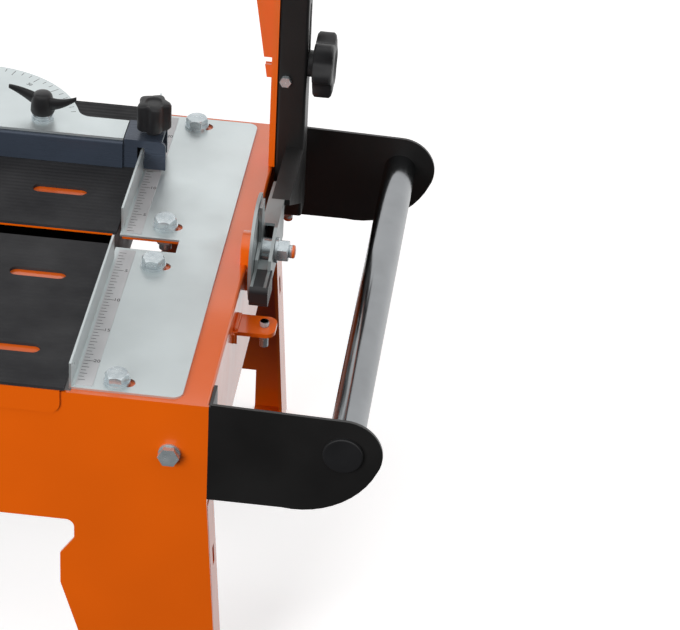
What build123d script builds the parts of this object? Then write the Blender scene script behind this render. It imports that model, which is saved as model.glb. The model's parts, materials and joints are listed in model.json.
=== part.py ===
from build123d import *
from math import asin, cos, pi, radians, sin
import os

# Bridge tile saw on a folded sheet steel frame. Millimetres.
# X runs along the machine, Y away from the operator, Z up. The origin is on
# the floor, below the middle of the blade's line. T is the top of the table.

# ---- driving dimensions: the frame ----
FRAME_L = 1150.0          # outside of one end panel to the outside of the other
FRAME_W = 496.0           # outside of the front panel to the outside of the rear one
T = 350.0                 # height of the table plates' top above the floor
SHEET = 3.0               # steel sheet of the panels
APRON_H = 140.0           # depth of the front and rear panels between the legs
END_H = 111.0             # depth of the end panels
PLATE_T = 2.0             # galvanised table plates and pans
PLATE_L = 100.0           # length of a table plate along X
PLATE_MARGIN = 6.0        # bare frame edge beside a table plate
PLATE_END_GAP = 25.0      # bare frame top between a table plate and the end face
UPSTAND_H = 25.0          # height of the fence that a tile is pushed against
LEG_W = 122.0             # width of a leg above its foot
FOOT_W = 34.0             # width of a foot, and its height below the leg's sheet
FOOT_H = 48.0
LEG_SPLAY = 15.0          # how far a foot stands outside the end panel
LEG_FLANGE = 35.0         # depth of the flange bent in along a leg
PAN_LIP = 24.0            # depth of the pans' outer lip
PAN_GAP = 7.0             # from a pan's end to the upstand
MAT_T = 3.0               # rubber mat
SLOT_W = 22.4             # blade slot in the table
SLOT_SHIFT = 1.2          # the slot is off centre, because the blade tilts to one side
SLOT_L = 57.0             # length of the blade slot in a table plate
MAT_SLOT = (53.0, 14.0)   # grip slots in the mats, end to end and width
MAT_SLOTS = 6             # grip slots in a row
FRONT_ROWS = (388.0, (71.0, 193.0))      # first slot along X, and the rows along Y
REAR_ROWS = (380.0, (77.0, 193.0))
BOLT_X = 40.0             # table bolts, from the upstand
BOLT_MID = 35.0           # inner table bolts, from the middle
BOLT_EDGE = 21.0          # outer table bolts, from the frame's outside
PANEL_BOLT = (91.0, 56.0)                # from the upstand, and below the table's top
TRAY_HALF = 430.0         # half the length of the water tray
TRAY_GAP = 16.0           # from the tray to the panels' outside
TRAY_Z = (52.0, 128.0)    # tray's top and bottom below the table's top
TRAY_WALL = 3.0
PUMP = (55.0, 60.0, 52.0)
PUMP_AT = (-272.5, -110.0)               # middle of the pump in the tray

# ---- carrying handles at both ends ----
HANDLE_OUT = 120.0        # from the end face to the tube's axis
HANDLE_DROP = 38.0        # from the table's top to the tube's axis
HANDLE_NOSE = 35.0        # radius of a handle plate's end
HANDLE_H = 103.0          # depth of a handle plate
HANDLE_BOLT_Z = (-22.0, -82.0)           # flange bolts, from the table's top
HANDLE_BOLT_IN = 20.0     # flange bolts, from the frame's outside
TUBE_R = 16.0
CAP_R = 18.0

# ---- tilting bridge ----
PIVOT_UP = 8.0            # the tilt axis above the table's top
STUD_R = 6.0
TILT = 45.0               # tilt of the bridge, degrees
COLUMN = (28.0, 30.0)     # section of a column along X and Y
COLUMN_REAR = 83.0        # from the columns' front face to the rear panel's outside
COLUMN_BARE = 15.0        # bare end of the column below its foot
STOP_BOLT = 14.0          # stop bolt, from the column's front face
COLUMN_GAP = 2.0          # from an end face to the column beside it
COLUMN_DROP = 55.0        # the columns' lower end below the table's top
ARM_T = 3.0               # thickness of the pivot arms
ARM_GAP = 9.4             # clear space between the two arms of one end
ARM_INNER = 9.6           # from the end face to the inner arm
LUG_T = 6.0               # lug outside the end face
QUADRANT_R = 42.0         # radius of the arc slot about the tilt axis
QUADRANT_T = 3.0
CAP_Y = (-68.0, -34.0)    # ends of the black blocks on the arms
ARM_REAR = 100.0          # rear end of the inner arm
CHANNEL_REAR = 60.0       # rear end of the outer arm, where the column's foot starts
WEB_T = 3.0               # webs that join the two arms into a channel
PIN_R = 3.0               # pin that runs in the quadrant's slot
TAB_Y = -83.0             # middle of the stop tab
TAB_DROP = 22.0           # stop tab below the table's top
TAB_L = 38.0
TAB_SCREW_X = 27.0        # from the end face to the tab's screw
LOCK_R = 5.0              # lock studs and guide bolts
HEIGHT_TRAVEL = 60.0      # how far the rail can be raised
KNOB_Z = 110.0            # lock knob above the table's top
RAIL_BOTTOM = 215.0       # underside of the rail above the table's top
RAIL = (60.0, 80.0)       # section of the rail along Y and Z
RAIL_SET = 35.0           # middle of the rail behind the columns' front face
RAIL_BOLT_UP = 15.0       # guide bolts above the rail's underside
RAIL_WALL = 4.0
RAIL_PLATE_T = 6.0

# ---- carriage, motor and blade ----
PARK_X = -405.0           # blade centre with the carriage parked
BLADE_R = 150.0
BLADE_T = 2.2
BLADE_UP = 135.0          # blade axis above the table's top
MOTOR_R = 58.0
SHAFT_R = 10.0
GUARD_GAP = 13.0          # from the blade's rim to the guard's wall
GUARD_WALL = 2.0
GUARD_UP = 74.0           # open underside of the guard above the table's top
GUARD_FRONT = 34.0        # guard's outer face in front of the blade
GUARD_BACK = 22.0         # guard's outer face behind the blade
ROLLER_R = 18.0
ROLLER_W = 24.0
ROLLER_X = 70.0
CARRIAGE_L = 190.0
CARRIAGE_T = 6.0
CARRIAGE_GAP = 12.0       # from the rail to the carriage's plates
ROLLER_GAP = 6.0          # from the upper rollers to the carriage's top
HANDLE_R = 11.0           # push handle's tube
HANDLE_Y = -92.0          # front of the push handle
SWITCH_DROP = 6.0         # switch box below the rail's underside
SWITCH = (90.0, 48.0, 84.0)              # switch box along X, Y and Z
BUTTONS = ((58.0, 10.0), (26.0, 10.0))   # height in the box and stem radius
TAIL_L = 20.0             # hose tail of the water tap

# ---- rip guide and protractor ----
GUIDE_Y = 127.0           # front face of the guide bar
GUIDE_L = 400.0
GUIDE_H = 28.5
PROTRACTOR_X = -175.0     # centre of the protractor's arc, from the upstand
PROTRACTOR_R = 112.0
WING_X = -102.0           # wing knob's axis, from the upstand
WING_Y = 155.0
STRAIGHT_T = 2.5
PROTRACTOR_RUN = 180.0    # how far the protractor slides along the bar
CLAMP_X = 9.0             # clamp knob's axis, from the upstand
CLAMP_IN = 21.0           # clamp knob's axis behind the bar's front face
BRACKET_X = (-17.0, 24.0)                # bracket's ends, from the upstand
BRACKET_UP = 35.0         # bracket's top above the table's top

# ---- clearances ----
SLIDE_GAP = 0.3           # between faces that slide on each other
RUN_GAP = 0.05            # radial, a shaft in its bore

END_X = FRAME_L / 2
SIDE_Y = FRAME_W / 2
PLATE_X0 = END_X - PLATE_END_GAP - PLATE_L      # the upstand's outer face
TOP_Z = T - PLATE_T                             # top of the orange frame
SLOT_Y0 = SLOT_SHIFT - SLOT_W / 2
SLOT_Y1 = SLOT_SHIFT + SLOT_W / 2
BOLT_Y = (BOLT_EDGE - SIDE_Y, -BOLT_MID, BOLT_MID, SIDE_Y - BOLT_EDGE)
TRAY = (TRAY_HALF, SIDE_Y - TRAY_GAP, *TRAY_Z)
PIVOT_Z = T + PIVOT_UP
COLUMN_Y = SIDE_Y - COLUMN_REAR
BLADE_Z = T + BLADE_UP
RAIL_Z0 = T + RAIL_BOTTOM
RAIL_Z1 = RAIL_Z0 + RAIL[1]
RAIL_YC = COLUMN_Y + RAIL_SET
RAIL_BOLT_Z = RAIL_Z0 + RAIL_BOLT_UP
COLUMN_X0 = END_X + COLUMN_GAP
COLUMN_TOP = RAIL_BOLT_Z + HEIGHT_TRAVEL + 30.0
FRONT_PLATE_Y = RAIL_YC - RAIL[0] / 2 - CARRIAGE_GAP     # rear face of the carriage's front plate
REAR_PLATE_Y = RAIL_YC + RAIL[0] / 2 + CARRIAGE_GAP      # front face of its rear plate
CARRIAGE_TOP = RAIL_Z1 + 2 * ROLLER_R + ROLLER_GAP
HANDLE_Z = CARRIAGE_TOP + CARRIAGE_T + HANDLE_R          # push handle, lying on the carriage
GUIDE_Z0 = T + MAT_T + 0.5
GUIDE_TOP = GUIDE_Z0 + GUIDE_H


def block(x0, x1, y0, y1, z0, z1):
    """A box between two corners."""
    size = (x1 - x0, y1 - y0, z1 - z0)
    return Pos((x0 + x1) / 2, (y0 + y1) / 2, (z0 + z1) / 2) * Box(*size)


def rod(axis, radius, start, length):
    """A cylinder from start along the +axis."""
    turn = {"X": Rot(0, 90, 0), "Y": Rot(-90, 0, 0), "Z": Rot(0, 0, 0)}[axis]
    align = (Align.CENTER, Align.CENTER, Align.MIN)
    return Pos(*start) * turn * Cylinder(radius, length, align=align)


def hexagon(axis, flats, start, length, bore=0.0):
    """A hexagonal bolt head or nut from start along the +axis, with its corners chamfered."""
    turn = {"X": Rot(0, 90, 0), "Y": Rot(-90, 0, 0), "Z": Rot(0, 0, 0)}[axis]
    prism = extrude(RegularPolygon(flats / 2, 6, major_radius=False), length)
    corner = flats / 2 / cos(pi / 6)
    dome = Cylinder(corner, length, align=(Align.CENTER, Align.CENTER, Align.MIN))
    dome = chamfer(dome.edges().group_by(Axis.Z)[-1], corner - flats / 2 * 0.98)
    solid = prism & dome
    if bore:
        solid -= Cylinder(bore, length * 3)
    return Pos(*start) * turn * solid


def slab(axis, low, high, outline):
    """Extrudes an outline, drawn in the two axes across the given one, from low to high."""
    face = make_face(outline)
    plane = {
        "X": Plane(origin=(low, 0, 0), x_dir=(0, 1, 0), z_dir=(1, 0, 0)),
        "Y": Plane(origin=(0, high, 0), x_dir=(1, 0, 0), z_dir=(0, -1, 0)),
        "Z": Plane(origin=(0, 0, low), x_dir=(1, 0, 0), z_dir=(0, 0, 1)),
    }[axis]
    return extrude(plane * face, high - low)


def polygon(points):
    return Polyline(*points, close=True)


def flipped(solid):
    """The same piece at the other end of the machine."""
    return mirror(solid, about=Plane.YZ)


def both_ends(solids):
    return list(solids) + [flipped(s) for s in solids]


def save(name, solids):
    parts = solids if isinstance(solids, list) else [solids]
    shapes = [s for p in parts for s in p.solids()]
    export_step(Compound(children=shapes), f"parts/{name}.step")


# ---- base frame ----
def side_panel(sign):
    """Front or rear panel with its two legs, their bent flanges and feet."""
    toe = END_X + LEG_SPLAY
    half = [
        (0, TOP_Z), (END_X, TOP_Z), (END_X, T - 105), (toe, 0), (toe - FOOT_W, 0),
        (toe - FOOT_W, FOOT_H), (toe - LEG_W, FOOT_H), (END_X - 133, T - 215), (END_X - 133, T - 181),
        (END_X - 120, T - 162), (END_X - 120, TOP_Z - APRON_H), (0, TOP_Z - APRON_H),
    ]
    left = [(-x, z) for x, z in reversed(half[1:-1])]
    low, high = sorted((sign * SIDE_Y, sign * (SIDE_Y - SHEET)))
    panel = slab("Y", low, high, polygon(half + left))
    arch = panel.edges().filter_by(Axis.Y).filter_by(
        lambda e: abs(abs(e.center().X) - (END_X - 120)) < 1 and e.center().Z > T - 150)
    panel = fillet(arch, 8)
    fold = [sign * (SIDE_Y - SHEET), sign * (SIDE_Y - LEG_FLANGE)]
    flange = slab("Y", min(fold), max(fold), polygon([
        (END_X - SHEET, TOP_Z - END_H - 0.5), (END_X + 0.75, TOP_Z - END_H - 0.5),
        (toe, 0), (toe - SHEET, 0)]))
    hole = SIDE_Y - HANDLE_BOLT_IN
    oblong = block(END_X - 20, END_X + 30, sign * hole - 4, sign * hole + 4, T - 190, T - 170)
    foot = block(toe - FOOT_W, toe - SHEET, min(fold), max(fold), 0, SHEET)
    extra = [flange - oblong, foot]
    for piece in extra + [flipped(p) for p in extra]:
        panel += piece
    for side in (1, -1):
        panel -= rod("Y", 5.2, (side * (PLATE_X0 + PANEL_BOLT[0]), low - 1, T - PANEL_BOLT[1]), SHEET + 2)
    return panel


def end_panel():
    """Folded end panel: top flange with the blade slot, and the end face."""
    face = block(END_X - SHEET, END_X, -SIDE_Y + SHEET, SIDE_Y - SHEET, TOP_Z - END_H, TOP_Z)
    top = block(PLATE_X0 + 2, END_X, -SIDE_Y + SHEET, SIDE_Y - SHEET, TOP_Z - SHEET, TOP_Z)
    panel = face + top
    panel -= block(PLATE_X0 - 5, PLATE_X0 + SLOT_L + 1, SLOT_Y0 - 1, SLOT_Y1 + 1, T - 20, T)
    for y in BOLT_Y:
        panel -= rod("Z", STUD_R + 0.5, (PLATE_X0 + BOLT_X, y, T - 20), 30)
    for y in (HANDLE_BOLT_IN - SIDE_Y, SIDE_Y - HANDLE_BOLT_IN):
        for z in HANDLE_BOLT_Z:
            panel -= rod("X", 4.3, (END_X - 5, y, T + z), 10)
    bend = panel.edges().filter_by(Axis.Y).sort_by(Axis.X)[-4:]
    outer = [e for e in bend if abs(e.center().Z - TOP_Z) < 0.1]
    return fillet(outer, 2.5)


def table_plate():
    """Galvanised plate with its folded upstand, blade slot and bolt slots."""
    edge = SIDE_Y - PLATE_MARGIN
    plate = block(PLATE_X0, PLATE_X0 + PLATE_L, -edge, edge, TOP_Z, T)
    corners = plate.edges().filter_by(Axis.Z).group_by(Axis.X)[-1]
    plate = fillet(corners, 9)
    plate += block(PLATE_X0, PLATE_X0 + PLATE_T, -edge, -28, TOP_Z, T + UPSTAND_H)
    plate += block(PLATE_X0, PLATE_X0 + PLATE_T, 20, edge, TOP_Z, T + UPSTAND_H)
    plate -= block(PLATE_X0 - 5, PLATE_X0 + SLOT_L, SLOT_Y0, SLOT_Y1, T - 10, T + 5)
    for y in BOLT_Y:
        slot = extrude(SlotOverall(2 * STUD_R + 11, 2 * STUD_R + 1), 20, both=True)
        plate -= Pos(PLATE_X0 + BOLT_X + 5, y, T) * slot
    plate -= rod("X", 2.5, (PLATE_X0 - 5, -edge + 14, T + 14), 20)
    return plate


def pan(sign):
    """Table pan: flat top and an outer lip over the panel."""
    half = PLATE_X0 - PAN_GAP
    inner = SLOT_Y1 if sign > 0 else -SLOT_Y0
    ys = sorted((sign * inner, sign * (SIDE_Y + PLATE_T)))
    lip = sorted((sign * SIDE_Y, sign * (SIDE_Y + PLATE_T)))
    tray = block(-half, half, ys[0], ys[1], TOP_Z, T)
    tray += block(-half, half, lip[0], lip[1], T - PAN_LIP, T)
    low = tray.edges().filter_by(Axis.Y).group_by(Axis.Z)[0]
    return fillet(low, 10)


def mat(sign, slot_x, rows):
    """Rubber mat with rows of grip slots."""
    half = PLATE_X0 - 3
    inner = SLOT_Y1 if sign > 0 else -SLOT_Y0
    ys = sorted((sign * inner, sign * (SIDE_Y + 1)))
    sheet = block(-half, half, ys[0], ys[1], T, T + MAT_T)
    for row in rows:
        for i in range(MAT_SLOTS):
            x = slot_x * (1 - 2 * i / (MAT_SLOTS - 1))
            sheet -= Pos(x, sign * row, T) * extrude(SlotOverall(*MAT_SLOT), 20, both=True)
    return sheet


def rulers():
    """Ruler strips beside the upstands, on both sides of the blade slot."""
    edge = SIDE_Y - PLATE_MARGIN - 4
    x0 = PLATE_X0 + 4.5
    strips = [block(x0, x0 + 15.5, -edge, SLOT_Y0 - 4, T, T + 0.6),
              block(x0, x0 + 15.5, SLOT_Y1 + 4, edge, T, T + 0.6)]
    return both_ends(strips)


def table_bolts():
    """Hex bolts, washers and nuts that hold the table plates."""
    solids = []
    x = PLATE_X0 + BOLT_X
    for y in BOLT_Y:
        washer = rod("Z", 12, (x, y, T), 2.5) - rod("Z", STUD_R, (x, y, T - 1), 5)
        bolt = rod("Z", STUD_R, (x, y, T - 24), 24 + 2.5) + hexagon("Z", 19, (x, y, T + 2.5), 7.5)
        nut = hexagon("Z", 19, (x, y, TOP_Z - SHEET - 10), 10, STUD_R)
        solids += [washer, bolt, nut]
    return both_ends(solids)


def handle_outline(far):
    """Side of a handle plate: rounded nose about the tube, lower edge rising to it."""
    ax, az = END_X + HANDLE_OUT, T - HANDLE_DROP
    sag = 96.0
    cx, cz = ax - 53.0, T - HANDLE_H + sag
    nose = (ax + HANDLE_NOSE * cos(radians(-28)), az + HANDLE_NOSE * sin(radians(-28)))
    path = [
        Line((far, T), (ax, az + HANDLE_NOSE)),
        ThreePointArc((ax, az + HANDLE_NOSE), (ax + HANDLE_NOSE, az), nose),
    ]
    bottom = (cx, T - HANDLE_H)
    bulge = ((nose[0] + bottom[0]) / 2 + 9, (nose[1] + bottom[1]) / 2 - 14)
    path += [ThreePointArc(nose, bulge, bottom), Line(bottom, (far, T - HANDLE_H)),
             Line((far, T - HANDLE_H), (far, T))]
    return path


def handle_plates():
    """Black side plates of the carrying handles, with the flange bolted to the end face."""
    solids = []
    for sign in (-1, 1):
        ys = sorted((sign * SIDE_Y, sign * (SIDE_Y - SHEET)))
        plate = slab("Y", ys[0], ys[1], handle_outline(END_X + SHEET * 0.5))
        flange_y = sorted((sign * SIDE_Y, sign * (SIDE_Y - 34)))
        flange = block(END_X, END_X + SHEET, flange_y[0], flange_y[1], T - HANDLE_H, T - 2)
        piece = plate + flange
        for z in HANDLE_BOLT_Z:
            piece -= rod("X", 4.3, (END_X - 5, sign * (SIDE_Y - HANDLE_BOLT_IN), T + z), 20)
        piece -= rod("Y", 5.0, (END_X + HANDLE_OUT, ys[0] - 1, T - HANDLE_DROP), SHEET + 2)
        solids.append(piece)
    return both_ends(solids)


def handle_tubes():
    """Steel tubes between the handle plates, with a screwed plug in each end."""
    y = SIDE_Y - SHEET
    x, z = END_X + HANDLE_OUT, T - HANDLE_DROP
    tube = rod("Y", TUBE_R, (x, -y, z), 2 * y) - rod("Y", TUBE_R - 2, (x, -y - 1, z), 2 * y + 2)
    return both_ends([tube])


def handle_caps():
    """Round caps outside the handle plates, each on a plug that holds the tube."""
    solids = []
    x, z = END_X + HANDLE_OUT, T - HANDLE_DROP
    for sign in (-1, 1):
        outer = rod("Y", CAP_R, (x, SIDE_Y if sign > 0 else -SIDE_Y - 4, z), 4)
        rim = outer.edges().filter_by(GeomType.CIRCLE).group_by(Axis.Y)[-1 if sign > 0 else 0]
        cap = fillet(rim, 1.5)
        neck = rod("Y", 5.0, (x, SIDE_Y - SHEET if sign > 0 else -SIDE_Y, z), SHEET)
        start = SIDE_Y - SHEET - 20 if sign > 0 else -SIDE_Y + SHEET
        plug = rod("Y", TUBE_R - 2, (x, start, z), 20)
        solids.append(cap + neck + plug)
    return both_ends(solids)


def frame_bolts():
    """Bolts through the panels, and those that hold the handle plates' flanges."""
    solids = []
    for sign in (-1, 1):
        x, z = PLATE_X0 + PANEL_BOLT[0], T - PANEL_BOLT[1]
        face = sign * SIDE_Y
        washer_y = face if sign > 0 else face - 2
        head_y = face + 2 if sign > 0 else face - 2 - 6.5
        washer = rod("Y", 10, (x, washer_y, z), 2) - rod("Y", 5, (x, washer_y - 1, z), 4)
        shank_y = face - 16 if sign > 0 else face - 2
        bolt = rod("Y", 5, (x, shank_y, z), 18) + hexagon("Y", 17, (x, head_y, z), 6.5)
        nut_y = face - SHEET - 8 if sign > 0 else face + SHEET
        nut = hexagon("Y", 17, (x, nut_y, z), 8, 5)
        solids += [washer, bolt, nut]
        for dz in HANDLE_BOLT_Z:
            y = sign * (SIDE_Y - HANDLE_BOLT_IN)
            x1 = END_X + SHEET
            bolt = rod("X", 4, (END_X - 14, y, T + dz), 14 + SHEET)
            bolt += hexagon("X", 13, (x1, y, T + dz), 5.5)
            nut = hexagon("X", 13, (END_X - SHEET - 6.5, y, T + dz), 6.5, 4)
            solids += [bolt, nut]
    return both_ends(solids)


# ---- water tray under the table ----
def water_tray():
    half, side, top, bottom = TRAY
    box_ = block(-half, half, -side, side, T - bottom, T - top)
    box_ = fillet(box_.edges().filter_by(Axis.Z), 20)
    hollow = block(-half + TRAY_WALL, half - TRAY_WALL, -side + TRAY_WALL, side - TRAY_WALL,
                   T - bottom + TRAY_WALL, T - top + 1)
    hollow = fillet(hollow.edges().filter_by(Axis.Z), 20 - TRAY_WALL)
    drain = rod("Z", 11, (half - 60, -side + 60, T - bottom - 1), TRAY_WALL + 2)
    return box_ - hollow - drain


def tray_supports():
    """Angle bars across the frame that carry the tray."""
    bottom = T - TRAY[3]
    solids = []
    for x in (-TRAY[0] + 120, TRAY[0] - 120):
        angle = block(x, x + 25, -SIDE_Y + SHEET, SIDE_Y - SHEET, bottom - SHEET, bottom)
        angle += block(x, x + SHEET, -SIDE_Y + SHEET, SIDE_Y - SHEET, bottom - 12, bottom)
        solids.append(angle)
    return solids


def water_pump():
    """Submersible pump standing in the tray, with its outlet spigot."""
    z = T - TRAY[3] + TRAY_WALL
    x, y = PUMP_AT
    body = block(x - PUMP[0] / 2, x + PUMP[0] / 2, y - PUMP[1] / 2, y + PUMP[1] / 2, z, z + PUMP[2])
    body = fillet(body.edges().filter_by(Axis.Z), 8)
    top = z + PUMP[2]
    return body + rod("Z", 7, (x, y, top), 12) - rod("Z", 4.5, (x, y, top - 12), 30)


def drain_plug():
    x, y = TRAY[0] - 60, -TRAY[1] + 60
    z = T - TRAY[3]
    stem = rod("Z", 11, (x, y, z), TRAY_WALL)
    return stem + rod("Z", 16, (x, y, z + TRAY_WALL), 5) + rod("Z", 13, (x, y, z - 8), 8)


# ---- tilt pivots on the end panels ----
def frame_brackets():
    """Lugs that carry the pivot studs, and the stop tabs beside them."""
    lug = slab("X", END_X, END_X + LUG_T, [
        Line((-16, T - 30), (16, T - 30)), Line((16, T - 30), (16, PIVOT_Z)),
        ThreePointArc((16, PIVOT_Z), (0, PIVOT_Z + 16), (-16, PIVOT_Z)),
        Line((-16, PIVOT_Z), (-16, T - 30))])
    lug += block(END_X - 6, END_X, -16, 16, TOP_Z, PIVOT_Z)
    lug += rod("X", 16, (END_X - 6, 0, PIVOT_Z), 6) - block(
        END_X - 10, END_X + 5, -20, 20, TOP_Z - 20, TOP_Z)
    lug -= rod("X", STUD_R, (END_X - 20, 0, PIVOT_Z), 60)
    z = T - TAB_DROP
    root = block(END_X, END_X + 4, TAB_Y - 17, TAB_Y + 17, z - 12, z)
    tab = block(END_X, END_X + TAB_L, TAB_Y - 15, TAB_Y + 15, z - 4, z)
    ends = tab.edges().filter_by(Axis.Z).group_by(Axis.X)[-1]
    tab = fillet(ends, 9)
    tab -= rod("Z", 4.2, (END_X + TAB_SCREW_X, TAB_Y, z - 10), 20)
    return both_ends([lug, root + tab])


def tab_screws():
    """Set screw through each stop tab, with its lock nut below."""
    x, z = END_X + TAB_SCREW_X, T - TAB_DROP
    screw = rod("Z", 4, (x, TAB_Y, z - 22), 27)
    nut = hexagon("Z", 13, (x, TAB_Y, z - 4 - 6.5), 6.5, 4)
    return both_ends([screw, nut])


def arm_x():
    """X of the inner arm's two faces and the outer arm's two faces."""
    inner = END_X + ARM_INNER
    outer = inner + ARM_T + ARM_GAP
    return inner, inner + ARM_T, outer, outer + ARM_T


def pivot_fasteners():
    """Pivot stud, the spacer between the arms, washer and nut at each end."""
    a0, a1, a2, a3 = arm_x()
    nut_x = a3 + SLIDE_GAP + 2.5
    stud = rod("X", STUD_R, (END_X - 6, 0, PIVOT_Z), nut_x + 15 - END_X + 6)
    spacer = rod("X", 11, (a1 + SLIDE_GAP, 0, PIVOT_Z), ARM_GAP - 2 * SLIDE_GAP)
    spacer -= rod("X", STUD_R, (a1 - 5, 0, PIVOT_Z), 30)
    washer = rod("X", 12, (a3 + SLIDE_GAP, 0, PIVOT_Z), 2.5)
    washer -= rod("X", STUD_R, (a3 - 5, 0, PIVOT_Z), 30)
    nut = hexagon("X", 19, (nut_x, 0, PIVOT_Z), 10, STUD_R)
    return both_ends([stud, spacer, washer, nut])


def quadrant_plates():
    """Fixed zinc plates with the arc slot that limits the tilt."""
    x0 = END_X + LUG_T
    r = QUADRANT_R + 11
    disc = rod("X", r, (x0, 0, PIVOT_Z), QUADRANT_T)
    keep = slab("X", x0 - 1, x0 + QUADRANT_T + 1, polygon([
        (-r - 5, PIVOT_Z - 30), (22, PIVOT_Z - 30), (22, PIVOT_Z + r + 5),
        (-r - 5, PIVOT_Z + r + 5)]))
    plate = disc & keep
    arc = CenterArc((0, PIVOT_Z), QUADRANT_R, 88, TILT + 4)
    slot = extrude(Plane(origin=(x0 - 1, 0, 0), x_dir=(0, 1, 0), z_dir=(1, 0, 0))
                   * SlotArc(arc, PIN_R * 2 + 1.2), QUADRANT_T + 2)
    plate -= slot
    plate -= rod("X", STUD_R, (x0 - 1, 0, PIVOT_Z), 10)
    plate -= rod("X", 2.2, (x0 - 1, -20, PIVOT_Z - 18), 10)
    return both_ends([plate])


# ---- tilting columns ----
def arm_plates():
    """Two parallel arms at each end, joined by webs into a channel open below."""
    a0, a1, a2, a3 = arm_x()
    front = [
        (9, PIVOT_Z + 19), (-30, PIVOT_Z + 6), (CAP_Y[1], PIVOT_Z - 3),
        (CAP_Y[0] + 4, PIVOT_Z - 3), (CAP_Y[0] + 4, PIVOT_Z - 18), (CAP_Y[1], PIVOT_Z - 18),
        (-20, PIVOT_Z - 21)]
    inner = slab("X", a0, a1, polygon(front + [
        (CHANNEL_REAR, PIVOT_Z - 21), (ARM_REAR, PIVOT_Z - 4), (ARM_REAR, PIVOT_Z + 14),
        (CHANNEL_REAR, PIVOT_Z + 19)]))
    inner += block(a0, a1, -9, 9, PIVOT_Z + 10, PIVOT_Z + QUADRANT_R + 8)
    inner -= rod("X", 3.2, (a0 - 1, 78, PIVOT_Z + 4), ARM_T + 2)
    outer = slab("X", a2, a3, polygon(front + [
        (CHANNEL_REAR, PIVOT_Z - 21), (CHANNEL_REAR, PIVOT_Z + 19)]))
    rear_web = block(a1, a2, 16, CHANNEL_REAR, PIVOT_Z + 19 - WEB_T, PIVOT_Z + 19)
    front_web = block(a1, a2, CAP_Y[1], -14, PIVOT_Z - 3 - WEB_T, PIVOT_Z - 3)
    arm = inner + outer + rear_web + front_web
    arm -= rod("X", STUD_R + RUN_GAP, (a0 - 1, 0, PIVOT_Z), a3 - a0 + 2)
    pin_x = END_X + LUG_T + SLIDE_GAP
    arm += rod("X", PIN_R, (pin_x, 0, PIVOT_Z + QUADRANT_R), a0 - pin_x + 1)
    return both_ends([arm])


def arm_caps():
    """Black plastic blocks on the front ends of the arms."""
    a0, a1, a2, a3 = arm_x()
    solid = block(a0, a3 + 2, CAP_Y[0], CAP_Y[1], PIVOT_Z - 22, PIVOT_Z - 1)
    solid = fillet(solid.edges().filter_by(Axis.X).group_by(Axis.Y)[0], 6)
    for low, high in ((a0, a1), (a2, a3)):
        solid -= block(low, high, CAP_Y[0] + 4, CAP_Y[1] + 1, PIVOT_Z - 18, PIVOT_Z + 5)
    return both_ends([solid])


def column():
    """Square tube column with slots for the lock knob and the guide bolt."""
    x0, x1 = COLUMN_X0, COLUMN_X0 + COLUMN[0]
    y0, y1 = COLUMN_Y, COLUMN_Y + COLUMN[1]
    z0 = T - COLUMN_DROP
    tube = block(x0, x1, y0, y1, z0, COLUMN_TOP)
    tube = fillet(tube.edges().filter_by(Axis.Z), 3)
    tube -= block(x0 + 3, x1 - 3, y0 + 3, y1 - 3, z0 + 4, COLUMN_TOP - 3)
    for z in (T + KNOB_Z, RAIL_BOLT_Z):
        slot = SlotOverall(HEIGHT_TRAVEL + 2 * (LOCK_R + SLIDE_GAP), 2 * (LOCK_R + SLIDE_GAP))
        cut = extrude(slot, 30, both=True)
        place = Pos(x0 + COLUMN[0] / 2, COLUMN_Y + COLUMN[1] / 2, z + HEIGHT_TRAVEL / 2)
        tube -= place * Rot(0, 90, 0) * cut
    tube -= rod("Z", 4, (x0 + COLUMN[0] / 2, y0 + STOP_BOLT, z0 - 1), 8)
    a1, a2 = arm_x()[1:3]
    foot = slab("X", a1, x1, polygon([
        (y0, z0 + COLUMN_BARE), (y0, PIVOT_Z + 14), (CHANNEL_REAR, PIVOT_Z + 19),
        (CHANNEL_REAR, PIVOT_Z + 13)]))
    tongue = block(a1, a2, 34, CHANNEL_REAR, PIVOT_Z - 12, PIVOT_Z + 19 - WEB_T)
    brace = slab("X", a1, a2, polygon([
        (CHANNEL_REAR, PIVOT_Z - 12), (CHANNEL_REAR, PIVOT_Z + 16), (ARM_REAR, PIVOT_Z - 8)]))
    return tube + foot + tongue + brace


def column_bolts():
    """Stop bolt and nut under each column, and a hex screw on its front face."""
    x = COLUMN_X0 + COLUMN[0] / 2
    z0 = T - COLUMN_DROP
    y = COLUMN_Y + STOP_BOLT
    bolt = rod("Z", 4, (x, y, z0 - 7 - 6.5), 7 + 6.5 + 8)
    nut = hexagon("Z", 13, (x, y, z0 - 6.5), 6.5, 4)
    side = COLUMN_X0 + 8
    head = hexagon("Y", 10, (side, COLUMN_Y - 5, T + 97), 5)
    return both_ends([bolt, nut, head])


# ---- rail, raised and lowered on the columns ----
def rail_plate():
    """Orange end plate: a strip down to the frame's top, widening to hold the rail."""
    x1 = COLUMN_X0 - SLIDE_GAP
    x0 = x1 - RAIL_PLATE_T
    yc = RAIL_YC
    outline = [
        (COLUMN_Y, TOP_Z + 0.6), (COLUMN_Y + COLUMN[1], TOP_Z + 0.6),
        (COLUMN_Y + COLUMN[1], RAIL_Z0 - 40), (yc + 40, RAIL_Z0 - 10), (yc + 40, RAIL_Z1 + 10),
        (yc - 40, RAIL_Z1 + 10), (yc - 40, RAIL_Z0 - 10), (COLUMN_Y, RAIL_Z0 - 30)]
    plate = slab("X", x0, x1, polygon(outline))
    rib = slab("Y", COLUMN_Y + 12, COLUMN_Y + 18, polygon([
        (x0 + 1, T + 92), (x0 - 6, T + 92), (x0 - 24, RAIL_Z0), (x0 + 1, RAIL_Z0)]))
    plate += rib
    for z in (T + KNOB_Z, RAIL_BOLT_Z):
        plate -= rod("X", LOCK_R, (x0 - 10, COLUMN_Y + COLUMN[1] / 2, z), 40)
    return plate


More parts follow.
